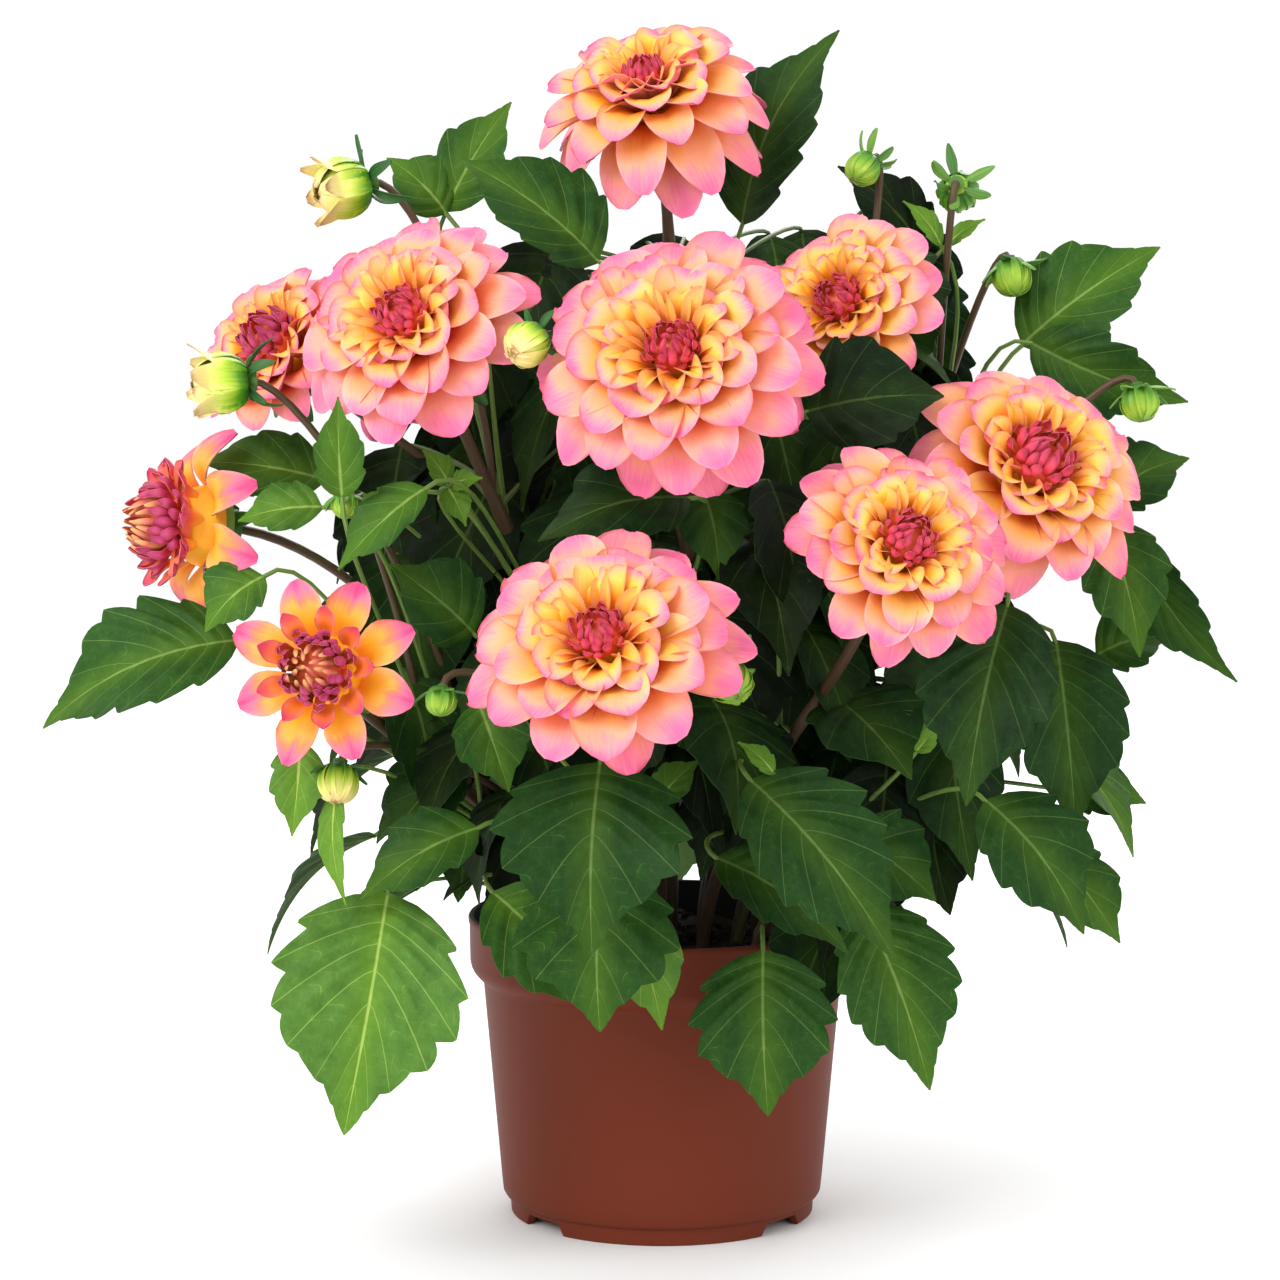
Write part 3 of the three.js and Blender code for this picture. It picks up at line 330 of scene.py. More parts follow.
class Form:
    """A mesh in the making: closed pieces with what the materials read at each of their points."""

    def __init__(self):
        self.points, self.faces, self.finish = [], [], []
        self.layers = {"Marks": [], "Tones": [], "Span": []}
        self.count = 0

    def add(self, points, faces, marks, tones, span, finish=0):
        points = np.asarray(points, float).reshape(-1, 3)
        self.points.append(points)
        self.faces += [tuple(i + self.count for i in face) for face in faces]
        self.finish += [finish] * len(faces)
        for name, values in (("Marks", marks), ("Tones", tones), ("Span", span)):
            self.layers[name].append(np.broadcast_to(np.asarray(values, float), (len(points), 2)))
        self.count += len(points)

    def made(self, name, materials, slot, nodes, sharp=50):
        """Makes the object, which rides on the root body and stands for its CAD nodes."""
        mesh = bpy.data.meshes.new(name)
        mesh.from_pydata((np.vstack(self.points) * METRES).tolist(), [], self.faces)
        corners = np.empty(len(mesh.loops), np.int32)
        mesh.loops.foreach_get("vertex_index", corners)
        for layer, values in self.layers.items():
            uv = mesh.uv_layers.new(name=layer)
            uv.uv.foreach_set("vector", np.vstack(values)[corners].astype(np.float32).ravel())
        for material in materials:
            mesh.materials.append(material)
        mesh.polygons.foreach_set("material_index", self.finish)
        mesh.polygons.foreach_set("use_smooth", [True] * len(mesh.polygons))
        mesh.set_sharp_from_angle(angle=math.radians(sharp))
        mesh.update()
        handed_in(placed(name, mesh), slot, *nodes)


def thin_grid(form, top, under, marks, tones, span, finish=0):
    """A closed thin sheet from a grid of points on its upper face and one on its under face."""
    n, m = top.shape[:2]
    at = np.arange(n * m).reshape(n, m)
    a, b, c, d = (q.ravel() for q in (at[:-1, :-1], at[1:, :-1], at[1:, 1:], at[:-1, 1:]))
    size = n * m
    faces = [tuple(q) for q in np.stack((a, b, c, d), 1).tolist()]
    faces += [tuple(q) for q in (np.stack((d, c, b, a), 1) + size).tolist()]
    loop = [*at[:, 0], *at[-1, 1:], *at[-2::-1, -1], *at[0, -2:0:-1]]
    for i, j in zip(loop, loop[1:] + loop[:1]):
        faces.append((int(i), int(i + size), int(j + size), int(j))[::-1])
    flat = [np.concatenate((v.reshape(-1, 2), v.reshape(-1, 2))) for v in (marks, span)]
    tone = np.zeros((2 * size, 2))
    tone[:, 0] = tones
    tone[size:, 1] = 1
    points = np.concatenate((top.reshape(-1, 3), under.reshape(-1, 3)))
    form.add(points, faces, flat[0], tone, flat[1], finish)


def tube(form, line, radii, sides, tone, finish=0):
    """A closed round bar along a line of points."""
    line = [Vector(p) for p in line]
    across = None
    rings, marks, span = [], [], []
    run = 0.0
    for i, p in enumerate(line):
        ahead = (line[min(i + 1, len(line) - 1)] - line[max(i - 1, 0)]).normalized()
        if across is None:
            across = ahead.orthogonal().normalized()
        across = (across - ahead * across.dot(ahead)).normalized()
        other = ahead.cross(across)
        run += (p - line[i - 1]).length if i else 0
        for j in range(sides):
            a = TURN * j / sides
            rings.append(p + (across * math.cos(a) + other * math.sin(a)) * radii[i])
            marks.append((i / (len(line) - 1), abs(2 * j / sides - 1)))
            span.append((run, radii[i] * TURN * abs(j / sides - 0.5)))
    faces = quads(len(line) - 1, sides)
    faces.append(tuple(range(sides))[::-1])
    faces.append(tuple((len(line) - 1) * sides + j for j in range(sides)))
    form.add(rings, faces, marks, (tone, 0), span, finish)


def petal(form, place, line, half, angle, rng, cup=0.4, tip=2.1, wave=0.03, twist=0.0, tone=0.5, rows=10,
          columns=10, thick=0.32, finish=0, pleat=0.02, widest=0.62, foot=0.36):
    """A petal, floret, scale or bract: line gives its middle's distance and height on the head's axis."""
    centre, turn = place
    t = np.linspace(0, 1, rows)
    s = 1 - (1 - t) ** 1.35
    middle = np.array([line(x) for x in s])
    slope = np.gradient(middle, s, axis=0)
    slope /= np.linalg.norm(slope, axis=1)[:, None]
    normal = np.stack((-slope[:, 1], slope[:, 0]), 1)
    grow = foot + (1 - foot) * np.sin(0.5 * math.pi * np.minimum(1, s / widest))
    end = np.clip((s - widest) / (1 - widest), 0, 1)
    width = half * grow * np.maximum(0.04, (1 - end ** tip)) ** 0.5
    v = np.linspace(-1, 1, columns + 1)
    sv, vv = np.meshgrid(s, v, indexing="ij")
    phase = rng.uniform(0, TURN)
    lift = cup * (1.1 - 0.5 * sv) * np.abs(vv) ** 2.2 * width[:, None]
    lift += wave * half * 3 * np.sin(phase + 5 * sv + vv) * vv * np.abs(vv) * smooth(0.15, 0.6, sv)
    lift -= pleat * half * np.cos(3 * math.pi * vv) * smooth(0.1, 0.4, sv) * (1 - 0.6 * sv)
    turned = twist * (sv - 0.2)
    across = vv * width[:, None]
    side = across * np.cos(turned) - lift * np.sin(turned)
    lift = lift * np.cos(turned) + across * np.sin(turned)
    radial = middle[:, 0][:, None] + normal[:, 0][:, None] * lift
    height = middle[:, 1][:, None] + normal[:, 1][:, None] * lift
    x = radial * math.cos(angle) - side * math.sin(angle)
    y = radial * math.sin(angle) + side * math.cos(angle)
    top = np.stack((x, y, height), 2)
    down = np.stack((normal[:, 0] * math.cos(angle), normal[:, 0] * math.sin(angle), normal[:, 1]), 1)
    under = top - thick * down[:, None, :]
    length = float(np.linalg.norm(np.diff(middle, axis=0), axis=1).sum())
    turn3 = np.array(turn)
    top, under = (grid @ turn3.T + np.array(centre) for grid in (top, under))
    chance = rng.uniform(0, 400)
    marks = np.stack((sv, vv), 2)
    span = np.stack((sv * length + chance, across + 3 * chance), 2)
    thin_grid(form, top, under, marks, tone, span, finish)


def ball(form, place, radius, stretch, low, tone, finish=0, rows=10, sides=20):
    """A closed rounded knob on a head's axis, from a flat seat up."""
    centre, turn = place
    points, faces = [], quads(rows - 1, sides)
    start = math.asin(low)
    for i in range(rows):
        e = start + (math.pi / 2 - start) * i / rows
        for j in range(sides):
            a = TURN * j / sides
            points.append((radius * math.cos(e) * math.cos(a), radius * math.cos(e) * math.sin(a),
                           radius * stretch * (math.sin(e) - low)))
    points += [(0, 0, 0), (0, 0, radius * stretch * (1 - low))]
    last = rows * sides
    for j in range(sides):
        k = (j + 1) % sides
        faces += [(last, k, j), (last - sides + j, last - sides + k, last + 1)]
    points = np.array(points) @ np.array(turn).T + np.array(centre)
    form.add(points, faces, (0.5, 0), (tone, 0), (0, 0), finish)


def centre_of(place, depth):
    return Vector(place) if depth is None else seen(place, depth)


def bloom_seat(name):
    place, depth, radius, turn, tilt, *_ = BLOOMS[name]
    return centre_of(place, depth) + facing(turn, tilt) * (CORE_BOTTOM * radius - GAP)


def bud_seat(bud):
    return seen(bud[2], bud[3]) + facing(bud[5], bud[6]) * (-BUD_SEAT * BUD_STRETCH * bud[4] - GAP)


def stem_curve(name):
    """The four points of a stem's curve."""
    (x, y), bow, *end = STEMS[name]
    if end:
        tip, out = Vector(end[0]), facing(*end[1])
    else:
        out = facing(*BLOOMS[name][3:5])
        tip = bloom_seat(name) - out * 1.5
    root = Vector((x, y, SOIL_TOP - STEM_DEPTH + GAP))
    rise = tip.z - root.z
    return root, root + UP * 0.42 * rise, tip - out * NECK + Vector((bow[0], bow[1], -0.14 * rise)), tip


CURVES = {name: stem_curve(name) for name in STEMS}


def branch_curve(stem, share, seat, out, reach):
    start = bezier(*CURVES[stem], share)
    tip = seat - out * 1.5
    return start, start + UP * 0.3 * (start - tip).length, tip - out * reach, tip


def leaf_place(leaf, bend):
    """The stem's share, and the blade's base, tip, facing, width and shade, bent by some millimetres."""
    if len(leaf) == 8:
        _, share, base, tip, depths, width, roll, shade = leaf
        base, tip, hint = seen(base, depths[0] - bend), seen(tip, depths[1] - bend), TO_VIEWER
    else:
        _, share, turn, height, away, length, width = leaf
        roll, shade, out = 0, 0.3 + 0.3 * math.sin(turn + height), facing(turn, 0)
        base = out * (away + bend)
        base.z = height + 0.5 * bend
        tip = base + out * length * math.cos(HANG) - UP * length * math.sin(HANG)
        hint = out * 0.6 + UP * 0.8
    along = (tip - base).normalized()
    normal = (hint - along * hint.dot(along)).normalized()
    normal = Matrix.Rotation(math.radians(roll + bend * BEND_TO_ROLL), 3, along) @ normal
    return share + bend * BEND_TO_SHARE, base, tip, normal, width, shade


def leaf_blade(form, base, tip, normal, width, shade, rng, teeth, columns=10, finish=0):
    """A toothed blade: its rows run out along its side veins, and it bulges between them."""
    along = tip - base
    length = along.length
    side = normal.cross(along).normalized()
    steps = (0, 0.16, 0.34, 0.52, 0.7, TOOTH_TIP, 0.92)
    x = np.array([k + q for k in range(teeth) for q in steps] + [teeth])
    r = x / teeth
    u = np.linspace(-1, 1, columns + 1)
    t = np.sign(u) * np.abs(u) ** 1.25
    rr, tt = np.meshgrid(r, t, indexing="ij")
    lean = 0.36 * np.sin(math.pi * rr)
    share = np.clip(rr - 0.45 * lean + lean * np.abs(tt) ** 1.35, 0, 1)
    edge = np.clip(r + 0.55 * lean[:, 0], 0, 1)
    half = 0.52 * width * np.sin(math.pi * edge ** 0.74) ** 0.82 * (1 - 0.48 * smooth(0.6, 0.92, edge))
    phase = np.mod(x, 1.0)
    rise = (phase / TOOTH_TIP) ** 0.8
    tooth = np.where(phase <= TOOTH_TIP, rise, np.cos(0.5 * math.pi * (phase - TOOTH_TIP) / (1 - TOOTH_TIP)))
    depth = 0.16 * smooth(0.02, 0.16, r) * (1 - smooth(0.76, 0.95, r))
    uneven = np.array([[rng.uniform(0.6, 1.35) for _ in range(teeth + 1)] for _ in range(2)])
    notch = (depth * (1 - tooth) * uneven[:, x.astype(int)])[..., None]
    half = np.maximum(half[:, None] * (1.06 - np.where(tt > 0, notch[0], notch[1])), 0.5)
    across = tt * half
    arch = 0.44 * length * share * (1 - share)
    fold = 0.22 * np.abs(across)
    bulge = (0.5 - 0.5 * np.cos(TURN * (x - TOOTH_TIP)))[:, None]
    bulge = bulge * np.minimum(1, np.abs(tt) * 5) * (1 - np.abs(tt) ** 3)
    bulge = bulge * 0.07 * half * smooth(0.0, 0.12, rr)
    wave = [rng.uniform(0, TURN) for _ in range(3)]
    sway = 0.08 * half * tt ** 2 * np.sin(2.2 * math.pi * rr * 1.6 + np.where(tt > 0, wave[0], wave[1]))
    sway += 0.016 * length * np.sin(math.pi * share) * math.sin(wave[2])
    droop = -0.05 * length * share ** 2 * (1 - share) * 4 * abs(math.cos(wave[2]))
    lift = arch + fold + bulge + sway + 0.3 * droop
    bowed = 0.03 * length * np.sin(math.pi * share) * math.sin(wave[1])
    n3, s3 = np.array(normal), np.array(side)
    top = np.array(base) + share[..., None] * np.array(along)
    top = top + (across + bowed)[..., None] * s3 + lift[..., None] * n3
    rib = 0.35 + 0.9 * np.exp(-(across / 1.1) ** 2) * (1 - 0.8 * share)
    under = top - rib[..., None] * n3
    marks = np.stack((np.broadcast_to((x + 1 - TOOTH_TIP)[:, None], tt.shape), tt), 2)
    offset = rng.uniform(0, 500)
    span = np.stack((share * length + offset, across), 2)
    thin_grid(form, top, under, marks, shade, span, finish)


def add(tree, kind, inputs=(), stops=(), **settings):
    """Adds a shader node with its settings. An input is a value, a node or a node's socket."""
    made = tree.nodes.new("ShaderNode" + kind)
    for name, value in settings.items():
        setattr(made, name, value)
    for i, (position, code) in enumerate(stops):
        elements = made.color_ramp.elements
        stop = elements[i] if i < 2 else elements.new(position)
        stop.position, stop.color = position, linear(code) if isinstance(code, str) else (*code, 1)
    for key, value in dict(inputs).items():
        if isinstance(value, bpy.types.Node):
            value = value.outputs[0]
        if isinstance(value, bpy.types.NodeSocket):
            tree.links.new(value, made.inputs[key])
        else:
            made.inputs[key].default_value = value
    return made


def bare(name):
    """A new material's tree and its Principled shader."""
    material = bpy.data.materials.new(name)
    material.use_nodes = True
    return material.node_tree, material.node_tree.nodes["Principled BSDF"]


def started(name):
    """A new material's tree and shader, with the separated values of the three layers."""
    tree, shader = bare(name)
    values = []
    for layer in ("Marks", "Tones", "Span"):
        uv = add(tree, "UVMap", uv_map=layer)
        values.append(add(tree, "SeparateXYZ", {0: uv}))
        if layer == "Span":
            values.append(uv)
    return tree, shader, values


def petal_skin(name, inner, outer, back, blush=0.0, rough=0.5, flame=0.0, rim="#ffd8c6", edged=0.05):
    """Living petal, satin: it runs from yellow to pink along its length, with fine lengthwise streaks and a
    paler rim, and its back is a deeper pink."""
    tree, shader, (marks, tones, _, place) = started(name)
    stretched = add(tree, "VectorMath", {0: place, 1: (0.07, 0.9, 1)}, operation="MULTIPLY")
    streak = add(tree, "TexNoise", {"Vector": stretched, "Scale": 1.0, "Detail": 3.0, "Roughness": 0.6})
    drift = add(tree, "TexNoise", {"Vector": place, "Scale": 0.07, "Detail": 1.0})
    off = add(tree, "Math", {0: marks.outputs[1]}, operation="ABSOLUTE")
    margin = add(tree, "Math", {0: off, 1: 4.0}, operation="POWER")
    along = add(tree, "Math", {0: margin, 1: edged, 2: marks.outputs[0]}, operation="MULTIPLY_ADD")
    middle = add(tree, "MapRange", {0: off, 1: 0.3, 2: 0.0, 3: 0.0, 4: flame})
    fed = add(tree, "Math", {0: middle, 1: marks.outputs[0], 2: along}, operation="MULTIPLY_ADD")
    age = add(tree, "Math", {0: tones.outputs[0], 1: -0.34, 2: 0.2 + blush}, operation="MULTIPLY_ADD")
    young = add(tree, "Math", {0: 1.08, 1: marks.outputs[0]}, operation="SUBTRACT")
    along = add(tree, "Math", {0: age, 1: young, 2: fed}, operation="MULTIPLY_ADD")
    noisy = add(tree, "Math", {0: streak, 1: 0.24, 2: -0.12}, operation="MULTIPLY_ADD")
    along = add(tree, "Math", {0: along, 1: noisy})
    broad = add(tree, "Math", {0: drift, 1: 0.4, 2: -0.2}, operation="MULTIPLY_ADD")
    along = add(tree, "Math", {0: along, 1: broad})
    warm = add(tree, "ValToRGB", {0: along}, stops=inner)
    cool = add(tree, "ValToRGB", {0: along}, stops=outer)
    tier = add(tree, "MapRange", {0: tones.outputs[0], 1: 0.15, 2: 0.75, 3: 1.0, 4: 0.0})
    front = add(tree, "Mix", {0: tier, 6: warm, 7: cool}, data_type="RGBA")
    reverse = add(tree, "ValToRGB", {0: along}, stops=back)
    thin = add(tree, "Math", {0: margin, 1: 0.28}, operation="MULTIPLY")
    front = add(tree, "Mix", {0: thin, 6: front.outputs[2], 7: linear(rim)}, data_type="RGBA")
    colour = add(tree, "Mix", {0: tones.outputs[1], 6: front.outputs[2], 7: reverse}, data_type="RGBA")
    tree.links.new(colour.outputs[2], shader.inputs["Base Color"])
    bump = add(tree, "Bump", {"Strength": 0.25, "Distance": 0.0004, "Height": streak})
    tree.links.new(bump.outputs[0], shader.inputs["Normal"])
    shader.inputs["Roughness"].default_value = rough
    shader.inputs["Specular IOR Level"].default_value = 0.3


def leaf_skin(name):
    """Living leaf, waxy above and dull below: pale rib and side veins, darker between them."""
    tree, shader, (marks, tones, span, place) = started(name)
    mottle = add(tree, "TexNoise", {"Vector": place, "Scale": 0.12, "Detail": 4.0, "Roughness": 0.6})
    shade = add(tree, "Math", {0: mottle, 1: 0.4, 2: -0.2}, operation="MULTIPLY_ADD")
    shade = add(tree, "Math", {0: shade, 1: tones.outputs[0]})
    # The ramp's darkest stops are painted shade. They are taken by the inner leaves and by the darkest listed
    # leaves.
    green = add(tree, "ValToRGB", {0: shade}, stops=(
        (0.0, "#0b1508"), (0.12, "#0f230c"), (0.38, "#1d4015"), (0.65, "#335a1d"), (1.0, "#5f8a38")))
    # A vein lies where the first mark is whole, the rib where the distance across is nought. Both thin out.
    whole = add(tree, "Math", {0: marks.outputs[0]}, operation="FRACT")
    near = add(tree, "Math", {0: whole, 1: 0.5}, operation="SUBTRACT")
    near = add(tree, "Math", {0: near}, operation="ABSOLUTE")
    away = add(tree, "Math", {0: 0.5, 1: near}, operation="SUBTRACT")
    off = add(tree, "Math", {0: marks.outputs[1]}, operation="ABSOLUTE")
    wide = add(tree, "Math", {0: off, 1: -0.022, 2: 0.034}, operation="MULTIPLY_ADD")
    vein = add(tree, "Math", {0: away, 1: wide}, operation="DIVIDE")
    vein = add(tree, "MapRange", {0: vein, 1: 1.0, 2: 0.4, 3: 0.0, 4: 0.55})
    # Rungs cross from vein to vein in arcs
    arc = add(tree, "Math", {0: whole, 1: math.pi}, operation="MULTIPLY")
    arc = add(tree, "Math", {0: arc}, operation="SINE")
    rung = add(tree, "Math", {0: off, 1: 6.0, 2: arc}, operation="MULTIPLY_ADD")
    rung = add(tree, "Math", {0: rung}, operation="FRACT")
    rung = add(tree, "Math", {0: rung, 1: 0.5}, operation="SUBTRACT")
    rung = add(tree, "Math", {0: rung}, operation="ABSOLUTE")
    rung = add(tree, "MapRange", {0: rung, 1: 0.06, 2: 0.02, 3: 0.0, 4: 0.5})
    broken = add(tree, "MapRange", {0: mottle, 1: 0.5, 2: 0.7, 3: 0.08, 4: 0.6})
    rung = add(tree, "Math", {0: rung, 1: broken}, operation="MULTIPLY")
    across = add(tree, "Math", {0: span.outputs[1]}, operation="ABSOLUTE")
    rib = add(tree, "MapRange", {0: across, 1: 0.85, 2: 0.35, 3: 0.0, 4: 1.0})
    slim = add(tree, "MapRange", {0: off, 1: 0.1, 2: 0.05, 3: 0.0, 4: 1.0})
    rib = add(tree, "Math", {0: rib, 1: slim}, operation="MINIMUM")
    # The real net of veins is finer than a millimetre, and is drawn coarser so that it shows
    net = add(tree, "TexVoronoi", {"Vector": place, "Scale": 0.22, "Randomness": 0.8},
              feature="DISTANCE_TO_EDGE")
    net = add(tree, "MapRange", {0: net, 1: 0.05, 2: 0.0, 3: 0.0, 4: 0.07})
    lines = add(tree, "Math", {0: vein, 1: rib}, operation="MAXIMUM")
    lines = add(tree, "Math", {0: lines, 1: rung}, operation="MAXIMUM")
    lines = add(tree, "Math", {0: lines, 1: net}, operation="MAXIMUM")
    pale = add(tree, "ValToRGB", {0: shade}, stops=((0.0, "#33421f"), (0.4, "#5f7d3c"), (1.0, "#a9c660")))
    glow = add(tree, "MapRange", {0: across, 1: 0.0, 2: 11.0, 3: 0.5, 4: 0.0})
    glow = add(tree, "Math", {0: glow, 1: tones.outputs[0]}, operation="MULTIPLY")
    lit = add(tree, "Mix", {0: glow, 6: green, 7: linear("#6f9a1c")}, data_type="RGBA")
    top = add(tree, "Mix", {0: lines, 6: lit.outputs[2], 7: pale}, data_type="RGBA")
    dull = add(tree, "Mix", {0: 0.4, 6: top.outputs[2], 7: linear("#5f7a4c")}, data_type="RGBA")
    colour = add(tree, "Mix", {0: tones.outputs[1], 6: top.outputs[2], 7: dull.outputs[2]}, data_type="RGBA")
    tree.links.new(colour.outputs[2], shader.inputs["Base Color"])
    rough = add(tree, "Math", {0: tones.outputs[1], 1: 0.2, 2: 0.5}, operation="MULTIPLY_ADD")
    tree.links.new(rough.outputs[0], shader.inputs["Roughness"])
    height = add(tree, "Math", {0: lines, 1: -0.6, 2: mottle}, operation="MULTIPLY_ADD")
    bump = add(tree, "Bump", {"Strength": 0.5, "Distance": 0.0005, "Height": height})
    tree.links.new(bump.outputs[0], shader.inputs["Normal"])
    shader.inputs["Specular IOR Level"].default_value = 0.1


def stalk_skin(name, stops, rough=0.45):
    """Fresh stalk or bract, satin: green to purple-brown, with fine lengthwise ribs."""
    tree, shader, (_, tones, _, place) = started(name)
    stretched = add(tree, "VectorMath", {0: place, 1: (0.05, 1.0, 1)}, operation="MULTIPLY")
    streak = add(tree, "TexNoise", {"Vector": stretched, "Scale": 1.0, "Detail": 3.0})
    shade = add(tree, "Math", {0: streak, 1: 0.5, 2: -0.25}, operation="MULTIPLY_ADD")
    shade = add(tree, "Math", {0: shade, 1: tones.outputs[0]})
    colour = add(tree, "ValToRGB", {0: shade}, stops=stops)
    tree.links.new(colour.outputs[0], shader.inputs["Base Color"])
    bump = add(tree, "Bump", {"Strength": 0.4, "Distance": 0.0004, "Height": streak})
    tree.links.new(bump.outputs[0], shader.inputs["Normal"])
    shader.inputs["Roughness"].default_value = rough
    shader.inputs["Specular IOR Level"].default_value = 0.3


def moulded_plastic(name, colour, rough):
    """Polypropylene, injection moulded: satin, with a faint grain and slow changes of shade."""
    tree, shader = bare(name)
    place = add(tree, "TexCoord")
    slow = add(tree, "TexNoise", {"Vector": place.outputs["Object"], "Scale": 9.0, "Detail": 2.0})
    # A mould's grain is finer than this, and is drawn coarser so that it shows
    fine = add(tree, "TexNoise", {"Vector": place.outputs["Object"], "Scale": 900.0, "Detail": 2.0})
    dark, full = ([c * part for c in colour] + [1.0] for part in (0.86, 1.0))
    mixed = add(tree, "Mix", {0: slow, 6: dark, 7: full}, data_type="RGBA")
    tree.links.new(mixed.outputs[2], shader.inputs["Base Color"])
    bump = add(tree, "Bump", {"Strength": 0.12, "Distance": 0.0002, "Height": fine})
    tree.links.new(bump.outputs[0], shader.inputs["Normal"])
    shader.inputs["Roughness"].default_value = rough
    shader.inputs["Specular IOR Level"].default_value = 0.15


def potting_soil(name):
    """Peat and bark, crumbled and damp: dark brown grains with paler fibres."""
    tree, shader = bare(name)
    place = add(tree, "TexCoord")
    grain = add(tree, "TexNoise", {
        "Vector": place.outputs["Object"], "Scale": 420.0, "Detail": 4.0, "Roughness": 0.7})
    colour = add(tree, "ValToRGB", {0: grain}, stops=(
        (0.25, "#120d0a"), (0.5, "#2a1f18"), (0.66, "#463427"), (0.8, "#7a624a")))
    tree.links.new(colour.outputs[0], shader.inputs["Base Color"])
    bump = add(tree, "Bump", {"Strength": 0.8, "Distance": 0.001, "Height": grain})
    tree.links.new(bump.outputs[0], shader.inputs["Normal"])
    shader.inputs["Roughness"].default_value = 0.9


def skins():
    """The materials, made once from the scene's settings."""
    if "Petal" not in bpy.data.materials:
        chosen = bpy.context.scene.dahlia
        root, middle, tip = (tuple(c) for c in (chosen.petal_root, chosen.petal_middle, chosen.petal_tip))
        inner = ((0.0, "#ee8a08"), (0.36, root), (0.6, "#ffca50"), (0.78, middle), (0.9, "#fa8fa0"),
                 (1.0, tip))
        # The outer tiers start from a deep salmon at the root. It is partly the petals' own colour and partly
        # painted shade where the outer petals overlap.
        outer = ((0.0, "#ee4e22"), (0.46, "#f4603c"), (0.62, "#ff905e"), (0.78, "#ffa28a"), (0.9, "#fb839c"),
                 (1.0, tip))
        back = ((0.0, "#fbb04a"), (0.3, "#f9a48c"), (0.75, "#f48aa6"), (1.0, "#e06490"))
        petal_skin("Petal", inner, outer, back)
        young = ((0.0, "#ee8a1c"), (0.3, "#f8b024"), (0.5, "#fbac44"), (0.66, "#f78458"), (0.82, "#f0688a"),
                 (1.0, "#d8427e"))
        petal_skin("Young petal", young, young, back, 0.06, flame=0.2, edged=0.08)
        front = ((0.0, "#f6962a"), (0.3, "#f4802c"), (0.6, "#ee6a44"), (0.85, "#e8586c"), (1.0, "#d8487c"))
        coral = ((0.0, "#f4a03a"), (0.25, "#ec6e3e"), (0.5, "#de4450"), (0.8, "#dc4e6a"), (1.0, "#ac2c4a"))
        crimson = ((0.0, "#e8743a"), (0.25, "#cc3e4c"), (0.5, "#ac2850"), (0.8, "#c44a74"), (1.0, "#9a224e"))
        petal_skin("Floret", front, front, coral, 0.1, 0.42)
        petal_skin("Young floret", front, front, crimson, 0.1, 0.42)
        gold = ((0.0, "#8a9a2a"), (0.4, "#c8963c"), (0.75, "#cc5a5a"), (1.0, "#e8a86a"))
        petal_skin("Eye floret", gold, gold, gold, 0.0, 0.42)
        lime = ((0.0, "#1f5a10"), (0.24, "#4f921c"), (0.44, "#a8c834"), (0.66, "#e6e07e"), (0.86, "#e2cc88"),
                (1.0, "#b08a56"))
        petal_skin("Bud scale", lime, lime, lime, 0.0, 0.4, rim="#e6dc96")
        green = ((0.0, "#2f5f1e"), (0.3, "#5a962a"), (0.6, "#a0c23c"), (0.85, "#78a634"), (1.0, "#7f9440"))
        petal_skin("Green scale", green, green, green, 0.0, 0.4, rim="#a8c060")
        leaf_skin("Leaf")
        stalk_skin("Stalk", ((0.0, "#3f2826"), (0.35, "#54402c"), (0.6, "#567034"), (1.0, "#86a846")))
        stalk_skin("Bract", ((0.0, "#1f4020"), (0.5, "#37682e"), (1.0, "#7fae45")), 0.5)
        moulded_plastic("Pot outside", tuple(chosen.pot_colour), 0.55)
        moulded_plastic("Pot inside", linear("#2b2a2c")[:3], 0.5)
        potting_soil("Soil")
    return bpy.data.materials


def head_place(name):
    place, depth, radius, turn, tilt, form, eye = BLOOMS[name]
    out = facing(turn, tilt)
    return (centre_of(place, depth), upright(out)), radius, form, eye


